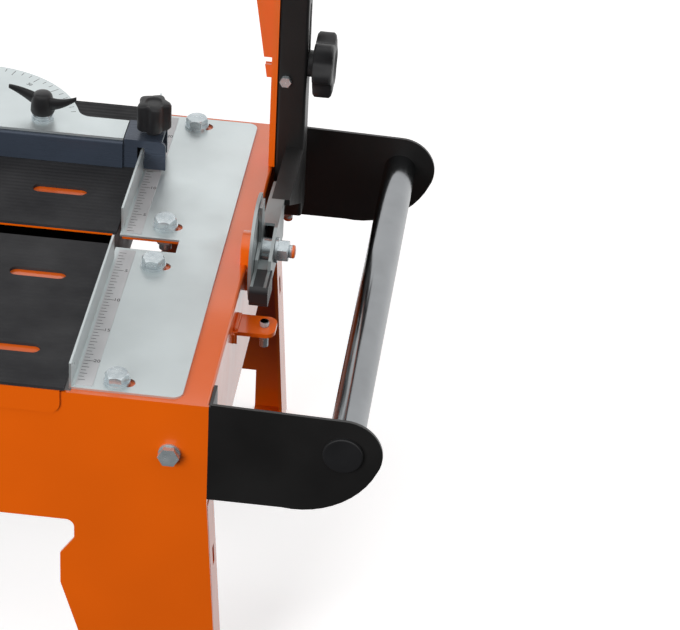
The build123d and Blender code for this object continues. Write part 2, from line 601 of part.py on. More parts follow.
def guide_rail():
    """Rectangular steel rail between the end plates."""
    x = COLUMN_X0 - SLIDE_GAP - RAIL_PLATE_T
    y0, y1 = RAIL_YC - RAIL[0] / 2, RAIL_YC + RAIL[0] / 2
    rail = block(-x, x, y0, y1, RAIL_Z0, RAIL_Z1)
    rail = fillet(rail.edges().filter_by(Axis.X), 5)
    w = RAIL_WALL
    return rail - block(-x - 1, x + 1, y0 + w, y1 - w, RAIL_Z0 + w, RAIL_Z1 - w)


def guide_bolts():
    """Shoulder bolts that guide the rail plates in the columns, and the studs of the lock knobs."""
    x0 = COLUMN_X0 - SLIDE_GAP - RAIL_PLATE_T
    x1 = COLUMN_X0 + COLUMN[0] + SLIDE_GAP
    y, z = COLUMN_Y + COLUMN[1] / 2, RAIL_BOLT_Z
    bolt = rod("X", LOCK_R, (x0, y, z), x1 - x0) + rod("X", 11, (x1, y, z), 2)
    bolt += hexagon("X", 17, (x1 + 2, y, z), 6.5)
    stud = rod("X", LOCK_R, (x0, y, T + KNOB_Z), x1 - x0 + 18)
    return both_ends([bolt, stud])


def lobed_knob(radius, height, lobes):
    """A knob with rounded lobes, its axis along Z, standing on Z = 0."""
    knob = Cylinder(radius * 0.8, height, align=(Align.CENTER, Align.CENTER, Align.MIN))
    for i in range(lobes):
        a = 2 * pi * i / lobes
        lobe = Cylinder(radius * 0.3, height, align=(Align.CENTER, Align.CENTER, Align.MIN))
        knob += Pos(radius * 0.7 * cos(a), radius * 0.7 * sin(a), 0) * lobe
    return knob


def lock_knob():
    """Lock knob that turns on the stud of the rail plate and clamps it to the column."""
    x1 = COLUMN_X0 + COLUMN[0] + SLIDE_GAP
    y, z = COLUMN_Y + COLUMN[1] / 2, T + KNOB_Z
    hub = rod("X", 11, (x1, y, z), 5)
    head = Pos(x1 + 5, y, z) * Rot(0, 90, 0) * lobed_knob(31, 20, 6)
    return hub + head - rod("X", LOCK_R + RUN_GAP, (x1 - 1, y, z), 20)


# ---- carriage ----
def roller_places():
    """Names, X from the carriage's centre and axis height of the four rollers."""
    gap = 0.3
    high, low = RAIL_Z1 + ROLLER_R + gap, RAIL_Z0 - ROLLER_R - gap
    return [("upper_left_roller", -ROLLER_X, high), ("upper_right_roller", ROLLER_X, high),
            ("lower_left_roller", -ROLLER_X, low), ("lower_right_roller", ROLLER_X, low)]


def carriage_frame():
    """Front and rear plates joined over the rail."""
    x0, x1 = PARK_X - CARRIAGE_L / 2, PARK_X + CARRIAGE_L / 2
    y0, y1 = FRONT_PLATE_Y - CARRIAGE_T, REAR_PLATE_Y + CARRIAGE_T
    front = block(x0, x1, y0, FRONT_PLATE_Y, RAIL_Z0 - 45, CARRIAGE_TOP)
    front += block(PARK_X - 62, PARK_X + 62, y0, FRONT_PLATE_Y, BLADE_Z - 40, RAIL_Z0 - 40)
    front = front + rod("Y", 62, (PARK_X, y0, BLADE_Z), CARRIAGE_T)
    rear = block(x0, x1, REAR_PLATE_Y, y1, RAIL_Z0 - 45, CARRIAGE_TOP)
    top = block(x0, x1, y0, y1, CARRIAGE_TOP, CARRIAGE_TOP + CARRIAGE_T)
    frame = front + rear + top
    for _, dx, z in roller_places():
        frame -= rod("Y", 6, (PARK_X + dx, y0 - 5, z), y1 - y0 + 10)
    frame -= rod("Y", 45, (PARK_X, y0 - 5, BLADE_Z), CARRIAGE_T + 10)
    return frame


def roller_axles():
    y0, y1 = FRONT_PLATE_Y - CARRIAGE_T, REAR_PLATE_Y + CARRIAGE_T
    solids = []
    for _, dx, z in roller_places():
        axle = rod("Y", 6, (PARK_X + dx, y0, z), y1 - y0)
        axle += hexagon("Y", 19, (PARK_X + dx, y1, z), 8)
        axle += rod("Y", 10, (PARK_X + dx, y0 - 4, z), 4)
        solids.append(axle)
    return solids


def roller(dx, z):
    wheel = rod("Y", ROLLER_R, (PARK_X + dx, RAIL_YC - ROLLER_W / 2, z), ROLLER_W)
    wheel = chamfer(wheel.edges().filter_by(GeomType.CIRCLE), 1.5)
    return wheel - rod("Y", 6 + RUN_GAP, (PARK_X + dx, 0, z), 400)


def motor_housing():
    """Ribbed motor body with its front shield and nose."""
    y1 = FRONT_PLATE_Y - CARRIAGE_T
    y0 = GUARD_BACK + 26
    body = rod("Y", MOTOR_R - 6, (PARK_X, y0 + 10, BLADE_Z), y1 - y0 - 10)
    ribs = 28
    for i in range(ribs):
        rib = Pos(PARK_X, 0, BLADE_Z) * Rot(0, 360 * i / ribs, 0) * block(
            MOTOR_R - 8, MOTOR_R, y0 + 14, y1 - 6, -1.5, 1.5)
        body += rib
    body += rod("Y", MOTOR_R, (PARK_X, y0, BLADE_Z), 12)
    body += rod("Y", MOTOR_R, (PARK_X, y1 - 8, BLADE_Z), 8)
    body += rod("Y", 34, (PARK_X, GUARD_BACK, BLADE_Z), y0 - GUARD_BACK)
    return body - rod("Y", SHAFT_R + RUN_GAP, (PARK_X, 0, BLADE_Z), y1 + 20)


def fan_cover():
    """Cover over the motor's fan, behind the carriage's front plate, with air slots."""
    y0 = FRONT_PLATE_Y
    shell = rod("Y", MOTOR_R, (PARK_X, y0, BLADE_Z), 42)
    shell = fillet(shell.edges().filter_by(GeomType.CIRCLE).group_by(Axis.Y)[-1], 8)
    shell -= rod("Y", MOTOR_R - 3, (PARK_X, y0 - 1, BLADE_Z), 40)
    for k in range(-4, 5):
        half = (MOTOR_R - 16) * cos(asin(k / 5.2))
        shell -= block(PARK_X - half, PARK_X + half, y0 + 30, y0 + 50,
                       BLADE_Z + 10 * k - 2.2, BLADE_Z + 10 * k + 2.2)
    return shell


def guard_profile(r, low):
    z = BLADE_Z
    x0, x1 = PARK_X - r, PARK_X + r
    return [ThreePointArc((x0, z), (PARK_X, z + r), (x1, z)), Line((x1, z), (x1, low)),
            Line((x1, low), (x0, low)), Line((x0, low), (x0, z))]


def blade_guard():
    """Sheet guard over the blade, open below, with a hole for the flanges."""
    r = BLADE_R + GUARD_GAP
    low = T + GUARD_UP
    shell = slab("Y", -GUARD_FRONT, GUARD_BACK, guard_profile(r, low))
    w = GUARD_WALL
    shell -= slab("Y", -GUARD_FRONT + w, GUARD_BACK - w, guard_profile(r - w, low - 5))
    shell -= rod("Y", 30, (PARK_X, GUARD_BACK - 10, BLADE_Z), 20)
    return shell


def push_handle():
    """Bent tube that the operator pulls the carriage with."""
    y0, y1, z = HANDLE_Y, FRONT_PLATE_Y + 40, HANDLE_Z
    half, bend = 60.0, 26.0
    xl, xr = PARK_X - half, PARK_X + half
    path = FilletPolyline((xl, y1, z), (xl, y0, z), (xr, y0, z), (xr, y1, z), radius=bend)
    start = Plane(origin=(xl, y1, z), x_dir=(1, 0, 0), z_dir=(0, -1, 0))
    return sweep(start * Circle(HANDLE_R), path)


def handle_grip():
    """Ribbed rubber sleeve on the push handle."""
    z = HANDLE_Z
    x0 = PARK_X - 32
    sleeve = rod("X", 15, (x0, HANDLE_Y, z), 64)
    for i in range(6):
        sleeve += rod("X", 16.5, (x0 + 5 + 10 * i, HANDLE_Y, z), 4)
    return sleeve - rod("X", HANDLE_R, (x0 - 1, HANDLE_Y, z), 80)


def switch_box():
    """Switch box on the carriage's front plate, with bores for the two buttons."""
    y1 = FRONT_PLATE_Y - CARRIAGE_T
    y0 = y1 - SWITCH[1]
    z0 = RAIL_Z0 - SWITCH_DROP
    box_ = block(PARK_X - SWITCH[0] / 2, PARK_X + SWITCH[0] / 2, y0, y1, z0, z0 + SWITCH[2])
    box_ = fillet(box_.edges().filter_by(Axis.Y), 8)
    box_ -= block(PARK_X - SWITCH[0] / 2 + 3, PARK_X + SWITCH[0] / 2 - 3, y0 + 3, y1 - 3,
                  z0 + 3, z0 + SWITCH[2] - 3)
    for dz, r in BUTTONS:
        box_ -= rod("Y", r + SLIDE_GAP, (PARK_X, y0 - 2, z0 + dz), 8)
    return box_


def button(index, head_r, head_l):
    """A push button: its stem passes the box's face, its head stands 6 mm off it."""
    y0 = FRONT_PLATE_Y - CARRIAGE_T - SWITCH[1]
    dz, r = BUTTONS[index]
    z = RAIL_Z0 - SWITCH_DROP + dz
    stem = rod("Y", r, (PARK_X, y0 - 6, z), 16) + rod("Y", r + 3, (PARK_X, y0 + 3.6, z), 3)
    head = rod("Y", head_r, (PARK_X, y0 - 6 - head_l, z), head_l)
    head = fillet(head.edges().filter_by(GeomType.CIRCLE).group_by(Axis.Y)[0], 2)
    return head + stem


def cable_gland():
    """Gland where the mains lead enters the switch box."""
    x = PARK_X + SWITCH[0] / 2
    y = FRONT_PLATE_Y - CARRIAGE_T - SWITCH[1] / 2
    z = RAIL_Z0 + 14
    gland = hexagon("X", 22, (x, y, z), 6) + rod("X", 9, (x + 6, y, z), 16)
    return gland - rod("X", 4.5, (x - 1, y, z), 40)


def blade():
    """Diamond blade: steel core, slots and a slightly thicker segmented rim."""
    disc = rod("Y", BLADE_R - 8, (PARK_X, -BLADE_T / 2 + 0.2, BLADE_Z), BLADE_T - 0.4)
    rim = rod("Y", BLADE_R, (PARK_X, -BLADE_T / 2, BLADE_Z), BLADE_T)
    rim -= rod("Y", BLADE_R - 9, (PARK_X, -BLADE_T, BLADE_Z), BLADE_T * 2)
    disc += rim
    slots = 18
    for i in range(slots):
        cut = block(BLADE_R - 24, BLADE_R + 2, -5, 5, -1.3, 1.3) + rod(
            "Y", 3.5, (BLADE_R - 24, -5, 0), 10)
        disc -= Pos(PARK_X, 0, BLADE_Z) * Rot(0, 360 * i / slots, 0) * cut
    return disc - rod("Y", SHAFT_R, (PARK_X, -10, BLADE_Z), 20)


def blade_flanges():
    h = BLADE_T / 2 - 0.2
    solids = []
    for y0 in (h, -h - 6):
        disc = rod("Y", 28, (PARK_X, y0, BLADE_Z), 6)
        solids.append(disc - rod("Y", SHAFT_R, (PARK_X, y0 - 1, BLADE_Z), 10))
    return solids


def motor_shaft():
    return rod("Y", SHAFT_R, (PARK_X, -24, BLADE_Z), FRONT_PLATE_Y - CARRIAGE_T + 24 - 1)


def blade_nut():
    y = -(BLADE_T / 2 - 0.2) - 6 - 11
    return hexagon("Y", 30, (PARK_X, y, BLADE_Z), 11, SHAFT_R)


def valve_body():
    """Water tap on top of the guard, with a hose tail."""
    z = BLADE_Z + BLADE_R + GUARD_GAP
    stem = rod("Z", 7, (PARK_X, -6, z), 8)
    body = rod("Y", 8, (PARK_X, -20, z + 14), 30)
    collar = rod("X", 8, (PARK_X - 12, -6, z + 14), 12)
    tail = rod("X", 5, (PARK_X - 12 - TAIL_L, -6, z + 14), TAIL_L + 2)
    spindle = rod("Z", 3, (PARK_X, -6, z + 20), 7)
    tap = stem + body + collar + tail + spindle
    return tap - rod("X", 3, (PARK_X - 20 - TAIL_L, -6, z + 14), TAIL_L + 8)


def valve_lever():
    z = BLADE_Z + BLADE_R + GUARD_GAP
    lever = block(PARK_X - 6, PARK_X + 6, -44, 0, z + 23, z + 26)
    lever = fillet(lever.edges().filter_by(Axis.Z).group_by(Axis.Y)[0], 5)
    lever += rod("Z", 6, (PARK_X, -6, z + 23), 6)
    return lever - rod("Z", 3 + RUN_GAP, (PARK_X, -6, z + 10), 17.6)


# ---- rip guide ----
def guide_bar():
    """Folded bar: front face, and a top flange that the protractor slides on."""
    x1 = PLATE_X0 - 18
    x0 = x1 - GUIDE_L
    bar = block(x0, x1, GUIDE_Y, GUIDE_Y + 2.5, GUIDE_Z0, GUIDE_TOP)
    bar += block(x0, x1, GUIDE_Y, GUIDE_Y + 40, GUIDE_TOP - 2.5, GUIDE_TOP)
    outer = [e for e in bar.edges().filter_by(Axis.X)
             if abs(e.center().Y - GUIDE_Y) < 0.1 and abs(e.center().Z - GUIDE_TOP) < 0.1]
    bar = fillet(outer, 2.4)
    run = PROTRACTOR_RUN + 2 * (4 + SLIDE_GAP)
    slot = extrude(SlotOverall(run, 2 * (4 + SLIDE_GAP)), 10, both=True)
    bar -= Pos(PLATE_X0 + WING_X - PROTRACTOR_RUN / 2, WING_Y, GUIDE_TOP) * slot
    return bar


def guide_bracket():
    """Bracket that straddles the upstand and carries the bar and the clamp knob."""
    x0, x1 = PLATE_X0 + BRACKET_X[0], PLATE_X0 + BRACKET_X[1]
    top = T + BRACKET_UP
    face = block(x0, x1, GUIDE_Y + 2.5, GUIDE_Y + 5.5, GUIDE_Z0, top)
    edges = [e for e in face.edges().filter_by(Axis.Y)
             if e.center().X > x1 - 1 and e.center().Z > top - 1]
    face = fillet(edges, 7)
    shelf = block(x0, x1 - 4, GUIDE_Y + 5.5, GUIDE_Y + 40, top - 3, top)
    back = block(x0, x1 - 4, GUIDE_Y + 37, GUIDE_Y + 40, GUIDE_Z0, top)
    arm = block(x0 - 30, x0, GUIDE_Y + 2.5, GUIDE_Y + 5.5, GUIDE_Z0, GUIDE_TOP - 2.5)
    bracket = face + shelf + back + arm
    gap = SLIDE_GAP + 0.2
    bracket -= block(PLATE_X0 - gap, PLATE_X0 + PLATE_T + gap, GUIDE_Y, GUIDE_Y + 60,
                     T - 5, T + UPSTAND_H + gap)
    bracket -= block(PLATE_X0 - 4, PLATE_X0 + PLATE_T + 1, GUIDE_Y, GUIDE_Y + 60,
                     T + 14.5, T + UPSTAND_H + 2)
    return bracket - rod("Z", 4 + RUN_GAP, (PLATE_X0 + CLAMP_X, GUIDE_Y + CLAMP_IN, top - 10), 20)


def clamp_knob():
    """Star knob on the bracket, its screw ends above the table plate."""
    x, y, top = PLATE_X0 + CLAMP_X, GUIDE_Y + CLAMP_IN, T + BRACKET_UP
    screw = rod("Z", 4, (x, y, T + 8), top - T - 8 + 8)
    hub = rod("Z", 8, (x, y, top + SLIDE_GAP), 12)
    head = Pos(x, y, top + 12) * lobed_knob(16, 22, 5)
    return screw + hub + head


def protractor_plate():
    """Plate with the arc of the protractor and the straight strip beside it."""
    z0 = GUIDE_TOP + SLIDE_GAP
    cx, cy = PLATE_X0 + PROTRACTOR_X, GUIDE_Y + 9
    y0, y1 = GUIDE_Y + 4, GUIDE_Y + 39
    x1 = PLATE_X0 + BRACKET_X[0] - 1
    sector = Pos(cx, cy, z0) * Cylinder(PROTRACTOR_R, STRAIGHT_T, align=(
        Align.CENTER, Align.CENTER, Align.MIN))
    sector &= block(cx - PROTRACTOR_R, cx + PROTRACTOR_R, y0, cy + PROTRACTOR_R + 1, z0, z0 + 9)
    strip = block(cx - PROTRACTOR_R, x1, y0, y1, z0, z0 + STRAIGHT_T)
    plate = sector + strip
    corner = [e for e in plate.edges().filter_by(Axis.Z)
              if abs(e.center().Y - y1) < 0.2 and cx < e.center().X < x1 - 5]
    plate = fillet(corner, 14)
    return plate - rod("Z", 4, (PLATE_X0 + WING_X, WING_Y, z0 - 1), 5)


def protractor_screw():
    """Screw, washers and the square nut that runs under the bar's flange."""
    x, y = PLATE_X0 + WING_X, WING_Y
    z0 = GUIDE_TOP + SLIDE_GAP + STRAIGHT_T
    under = GUIDE_TOP - 2.5 - SLIDE_GAP
    nut = block(x - 6.5, x + 6.5, y - 6.5, y + 6.5, under - 6, under)
    screw = rod("Z", 4, (x, y, under - 6), z0 - under + 6 + 16)
    solids = [nut + screw]
    for i, r in enumerate((11, 9.5, 8)):
        ring = rod("Z", r, (x, y, z0 + 2 * i), 2)
        solids.append(ring - rod("Z", 4, (x, y, z0 - 1), 20))
    return solids


def wing_knob():
    """Wing knob: hub with two swept wings."""
    x, y = PLATE_X0 + WING_X, WING_Y
    z0 = GUIDE_TOP + SLIDE_GAP + STRAIGHT_T + 6 + SLIDE_GAP
    hub = rod("Z", 12, (x, y, z0), 22)
    for side in (0, 180):
        wing = slab("Y", -3.5, 3.5, polygon([(0, 6), (22, 12), (34, 25), (26, 24), (0, 22)]))
        hub += Pos(x, y, z0) * Rot(0, 0, side + 160) * wing
    return hub - rod("Z", 4 + RUN_GAP, (x, y, z0 - 1), 11.3)


def build():
    os.makedirs("parts", exist_ok=True)
    save("front_panel", side_panel(-1))
    save("rear_panel", side_panel(1))
    save("right_end_panel", end_panel())
    save("left_end_panel", flipped(end_panel()))
    save("right_table_plate", table_plate())
    save("left_table_plate", flipped(table_plate()))
    save("front_pan", pan(-1))
    save("rear_pan", pan(1))
    save("front_mat", mat(-1, *FRONT_ROWS))
    save("rear_mat", mat(1, *REAR_ROWS))
    save("rulers", rulers())
    save("table_bolts", table_bolts())
    save("handle_plates", handle_plates())
    save("handle_tubes", handle_tubes())
    save("handle_caps", handle_caps())
    save("frame_bolts", frame_bolts())
    save("water_tray", water_tray())
    save("tray_supports", tray_supports())
    save("water_pump", water_pump())
    save("drain_plug", drain_plug())
    save("frame_brackets", frame_brackets())
    save("tab_screws", tab_screws())
    save("pivot_fasteners", pivot_fasteners())
    save("quadrant_plates", quadrant_plates())
    save("arm_plates", arm_plates())
    save("arm_caps", arm_caps())
    save("columns", both_ends([column()]))
    save("column_bolts", column_bolts())
    save("rail_plates", both_ends([rail_plate()]))
    save("guide_rail", guide_rail())
    save("guide_bolts", guide_bolts())
    save("right_lock_knob", lock_knob())
    save("left_lock_knob", flipped(lock_knob()))
    save("carriage_frame", carriage_frame())
    save("roller_axles", roller_axles())
    for name, dx, z in roller_places():
        save(name, roller(dx, z))
    save("motor_housing", motor_housing())
    save("fan_cover", fan_cover())
    save("blade_guard", blade_guard())
    save("push_handle", push_handle())
    save("handle_grip", handle_grip())
    save("switch_box", switch_box())
    save("start_button", button(1, 13, 5))
    save("stop_button", button(0, 17, 9))
    save("cable_gland", cable_gland())
    save("saw_blade", blade())
    save("blade_flanges", blade_flanges())
    save("motor_shaft", motor_shaft())
    save("blade_nut", blade_nut())
    save("valve_body", valve_body())
    save("valve_lever", valve_lever())
    save("guide_bar", guide_bar())
    save("guide_bracket", guide_bracket())
    save("clamp_knob", clamp_knob())
    save("protractor_plate", protractor_plate())
    save("protractor_screw", protractor_screw())
    save("wing_knob", wing_knob())


build()
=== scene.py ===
# %% [markdown]
# # A bridge tile saw
# The machine is sheet steel, tube, rubber and bolts. The frame holds its fixed shapes, each on the
# body that it moves with. This file gives every surface its finish, and adds the small worked
# details that a drawing leaves out: threads, weld beads, ruler marks and moulded knobs.

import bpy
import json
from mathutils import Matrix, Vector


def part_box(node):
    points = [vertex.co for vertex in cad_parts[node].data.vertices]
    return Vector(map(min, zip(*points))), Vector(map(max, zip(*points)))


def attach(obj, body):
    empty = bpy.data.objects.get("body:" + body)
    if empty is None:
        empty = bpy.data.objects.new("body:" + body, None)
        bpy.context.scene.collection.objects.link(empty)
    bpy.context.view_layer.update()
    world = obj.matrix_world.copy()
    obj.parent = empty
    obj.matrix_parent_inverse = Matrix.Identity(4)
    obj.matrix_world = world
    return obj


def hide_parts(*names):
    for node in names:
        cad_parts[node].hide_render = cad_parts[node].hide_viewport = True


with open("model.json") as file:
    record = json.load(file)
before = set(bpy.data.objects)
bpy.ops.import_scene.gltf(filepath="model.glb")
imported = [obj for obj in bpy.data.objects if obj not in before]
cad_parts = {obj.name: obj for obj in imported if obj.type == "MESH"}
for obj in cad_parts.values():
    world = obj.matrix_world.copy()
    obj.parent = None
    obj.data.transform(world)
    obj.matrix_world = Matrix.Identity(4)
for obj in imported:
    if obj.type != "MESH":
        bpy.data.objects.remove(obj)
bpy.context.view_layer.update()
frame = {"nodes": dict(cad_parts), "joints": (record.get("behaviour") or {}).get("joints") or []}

# %% [markdown]
# ## Landmarks
# Everything added later has to sit on the fixed shapes, so a few landmarks are read from their
# boxes first: the top of the table, the fence, the end face and the axis that the bridge tilts on.
# Read this way, the details follow when a fixed shape changes.

# %% helpers
import json
from math import cos, pi, radians, sin

import bmesh
import bpy
import numpy as np
from mathutils import Matrix, Vector

MM = 0.001
NODES = frame["nodes"]
low = {name: np.array(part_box(name)[0]) for name in NODES}
high = {name: np.array(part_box(name)[1]) for name in NODES}
middle = {name: (low[name] + high[name]) / 2 for name in NODES}
TABLE = float(low["right_table_plate"][2]) + 2 * MM      # top of the galvanised plates
FENCE = float(low["right_table_plate"][0])               # outer face of the right fence
END = float(high["right_end_panel"][0])                  # outside of the right end face
TILT_AXIS = next(j for j in frame["joints"] if j["name"] == "bridge_tilt")["pos_m"]
print(f"table top {TABLE:.3f} m, fence at {FENCE:.3f} m, end face at {END:.3f} m")

# %% [markdown]
# ## The camera
# A long lens from the front, well above the table, flattens perspective as a catalogue view
# does. The camera is set by where it stands and by three turns: it faces the back of the
# machine, turned a few degrees left, tipped down, and rolled slightly. Written as axes, the three
# turns give the matrix directly, with nothing to aim by hand.

# %% camera
CAMERA_FROM_FENCE = (0.43052, -2.44092, 1.57520)
TURN_LEFT, TIP_DOWN, ROLL = radians(5.0724), radians(33.6758), radians(2.9731)


def camera_axes():
    """Right, up and back of the camera: level directions first, then the tip, then the roll."""
    level_ahead = Vector((-sin(TURN_LEFT), cos(TURN_LEFT), 0))
    level_right = Vector((cos(TURN_LEFT), sin(TURN_LEFT), 0))
    ahead = level_ahead * cos(TIP_DOWN) - Vector((0, 0, sin(TIP_DOWN)))
    up = level_right.cross(ahead)
    right = level_right * cos(ROLL) + up * sin(ROLL)
    return right, up * cos(ROLL) - level_right * sin(ROLL), -ahead


camera_data = bpy.data.cameras.new("camera")
camera_data.lens = 164.45
camera_data.sensor_width = 36.0
camera_data.clip_end = 50.0
camera = bpy.data.objects.new("camera", camera_data)
axes = Matrix(camera_axes()).transposed().to_4x4()
place = Vector((FENCE, 0, TABLE)) + Vector(CAMERA_FROM_FENCE)
camera.matrix_world = Matrix.Translation(place) @ axes
bpy.context.scene.collection.objects.link(camera)
bpy.context.scene.camera = camera
print("camera at", [round(v, 3) for v in place])

# %% [markdown]
# ## Light and floor
# Glossy paint and zinc take most of their look from what they reflect. The studio is a white tent
# that is open and dark on the operator's side, low down. So level tops mirror white, the end faces
# mirror a light grey, and faces that look at the operator keep their own colour. Matt surfaces get
# only about half of the tent's light, or the orange tops would burn out beside the zinc.
# Soft area lights add direction: a large one in front on the left, low enough to light the front
# panel most, a weak one on the right, and one behind. They stay out of reflections, because a
# mirrored lamp would draw a hard white stripe along every tube. The floor is pale and glows a
# little, so that only a faint shadow shows on it.

# %% studio
scene = bpy.context.scene
scene.view_settings.view_transform = "Standard"
scene.view_settings.look = "None"

TENT_WHITE, TENT_DARK = 1.12, 0.04      # brightness of the tent and of its open side
TENT_SOFT = 0.55                        # part of it that reaches matt surfaces


def tent_world():
    """Brightness follows height plus 0.8 times depth, of the direction looked in."""
    world = bpy.data.worlds.new("studio")
    world.use_nodes = True
    nodes, links = world.node_tree.nodes, world.node_tree.links
    direction = nodes.new("ShaderNodeTexCoord")
    lean = nodes.new("ShaderNodeVectorMath")
    lean.operation = "DOT_PRODUCT"
    lean.inputs[1].default_value = (0, 0.8, 1)
    rise = nodes.new("ShaderNodeMapRange")
    rise.interpolation_type = "SMOOTHSTEP"
    for socket, value in (("From Min", -0.75), ("From Max", 0.55), ("To Min", TENT_DARK),
                          ("To Max", TENT_WHITE)):
        rise.inputs[socket].default_value = value
    links.new(direction.outputs["Generated"], lean.inputs[0])
    links.new(lean.outputs["Value"], rise.inputs["Value"])
    path = nodes.new("ShaderNodeLightPath")
    share = nodes.new("ShaderNodeMapRange")
    share.inputs["To Min"].default_value = 1.0
    share.inputs["To Max"].default_value = TENT_SOFT
    links.new(path.outputs["Is Diffuse Ray"], share.inputs["Value"])
    strength = nodes.new("ShaderNodeMath")
    strength.operation = "MULTIPLY"
    links.new(rise.outputs["Result"], strength.inputs[0])
    links.new(share.outputs["Result"], strength.inputs[1])
    links.new(strength.outputs["Value"], nodes["Background"].inputs["Strength"])
    nodes["Background"].inputs["Color"].default_value = (1, 1, 1, 1)
    return world


scene.world = tent_world()


def soft_light(name, spot, aim, size, watts):
    """An area light at spot, facing aim."""
    data = bpy.data.lights.new(name, "AREA")
    data.shape = "RECTANGLE"
    data.size, data.size_y = size
    data.energy = watts
    lamp = bpy.data.objects.new(name, data)
    lamp.location = spot
    lamp.rotation_euler = (Vector(spot) - Vector(aim)).to_track_quat("Z", "Y").to_euler()
    lamp.visible_glossy = False
    scene.collection.objects.link(lamp)
    return lamp


CENTRE = (FENCE, 0, TABLE)
soft_light("key", (-0.7, -2.3, 1.25), CENTRE, (1.6, 1.2), 60)
soft_light("fill", (3.2, -1.4, 1.6), CENTRE, (1.6, 1.6), 4)
soft_light("rim", (1.2, 3.0, 2.2), CENTRE, (2.6, 0.8), 8)

floor_mesh = bpy.data.meshes.new("floor")
floor_corners = [(-12, -12, 0), (12, -12, 0), (12, 12, 0), (-12, 12, 0)]
floor_mesh.from_pydata(floor_corners, [], [(0, 1, 2, 3)])
floor = bpy.data.objects.new("floor", floor_mesh)
floor.location = (0, 0, -0.0005)
floor.visible_glossy = False
floor.visible_diffuse = False
scene.collection.objects.link(floor)
print("tent, three soft lights and a floor")

# %% [markdown]
# ## Building materials from nodes
# Each finish is a Principled shader with three quiet influences: a slow noise that shifts the
# colour as real coats do, a second one in the roughness as if wiped by hand, and a fine one in the
# bump. All of them read Object coordinates, in metres, so the grain keeps its real size and stays
# put when a body moves.

# %% material helpers


class Finish:
    """A new material, with short names for adding and joining nodes."""

    def __init__(self, name, **sockets):
        self.material = bpy.data.materials.new(name)
        self.material.use_nodes = True
        self.tree = self.material.node_tree
        self.shader = self.tree.nodes["Principled BSDF"]
        self.coords = self.add("ShaderNodeTexCoord").outputs["Object"]
        for socket, value in sockets.items():
            self.shader.inputs[socket.replace("_", " ")].default_value = value

    def add(self, kind, **settings):
        node = self.tree.nodes.new(kind)
        for key, value in settings.items():
            if hasattr(node, key):
                setattr(node, key, value)
            else:
                node.inputs[key.replace("_", " ")].default_value = value
        return node

    def link(self, source, target):
        self.tree.links.new(source, target)

    def noise(self, per_metre, detail=3.0, stretch=(1, 1, 1), rough=0.5):
        """Noise of so many features a metre, drawn out along an axis where stretch is small."""
        place = self.add("ShaderNodeMapping", Scale=stretch)
        self.link(self.coords, place.inputs["Vector"])
        cloud = self.add("ShaderNodeTexNoise", Scale=per_metre, Detail=detail, Roughness=rough)
        self.link(place.outputs["Vector"], cloud.inputs["Vector"])
        return cloud.outputs["Fac"]

    def ramp(self, factor, stops):
        """Colours at places along a factor."""
        node = self.add("ShaderNodeValToRGB")
        band = node.color_ramp
        while len(band.elements) < len(stops):
            band.elements.new(0.5)
        for element, (spot, colour) in zip(band.elements, stops):
            element.position = spot
            element.color = (*colour, 1)
        self.link(factor, node.inputs["Fac"])
        return node.outputs["Color"]

    def spread(self, factor, low_value, high_value):
        """Maps a 0 to 1 factor to a range of numbers."""
        node = self.add("ShaderNodeMapRange", To_Min=low_value, To_Max=high_value,
                        From_Min=0.3, From_Max=0.7)
        self.link(factor, node.inputs["Value"])
        return node.outputs["Result"]

    def bump(self, height, strength, distance, below=None):
        node = self.add("ShaderNodeBump", Strength=strength, Distance=distance)
        self.link(height, node.inputs["Height"])
        if below is not None:
            self.link(below, node.inputs["Normal"])
        return node.outputs["Normal"]

    def colour(self, factor, stops):
        self.link(self.ramp(factor, stops), self.shader.inputs["Base Color"])

    def roughness(self, factor, low_value, high_value):
        self.link(self.spread(factor, low_value, high_value), self.shader.inputs["Roughness"])

    def normal(self, normal):
        self.link(normal, self.shader.inputs["Normal"])


def shade(colour, amount):
    """A colour made lighter or darker by a factor."""
    return tuple(min(1.0, c * amount) for c in colour)


# %% [markdown]
# ## Orange powder coat
# Powder coat is thick and glossy, and flows into a faint dimpled skin called orange peel. The
# coat layer carries the gloss, the bump gives the dimples about two millimetres apart, and the
# base drifts a little between two oranges. Seen at a low angle the coat turns almost white,
# because it mirrors the room.

# %% orange paint
ORANGE = (0.80, 0.120, 0.0003)


def orange_paint():
    paint = Finish("orange_paint", Coat_Weight=0.9, Coat_Roughness=0.12, Coat_IOR=1.55)
    slow = paint.noise(7, 2)
    paint.colour(slow, [(0.3, shade(ORANGE, 0.93)), (0.7, shade(ORANGE, 1.06))])
    paint.roughness(paint.noise(22), 0.30, 0.42)
    peel = paint.bump(paint.noise(420, 2), 0.10, 0.0006)
    paint.normal(paint.bump(paint.noise(60, 2), 0.05, 0.002, peel))
    return paint.material


ORANGE_PAINT = orange_paint()
print("orange paint ready")

# %% [markdown]
# ## Zinc plated sheet
# The table plates are electroplated: an even, slightly blue grey, with long faint rolling marks
# and cloudy patches left by the bath. A stretched noise makes the marks, and a slow one makes the
# clouds in both colour and roughness.

# %% zinc sheet and bright zinc
ZINC = (0.63, 0.685, 0.69)


def zinc_sheet(name, across, tone=1.0):
    """Plated sheet whose rolling marks run across the given stretch."""
    sheet = Finish(name, Metallic=0.72, IOR=1.6)
    clouds = sheet.noise(9, 4)
    base = shade(ZINC, tone)
    sheet.colour(clouds, [(0.25, shade(base, 0.90)), (0.5, base), (0.78, shade(base, 1.07))])
    sheet.roughness(sheet.noise(30, 5), 0.30, 0.46)
    marks = sheet.noise(260, 3, across)
    sheet.normal(sheet.bump(marks, 0.10, 0.0004))
    return sheet.material


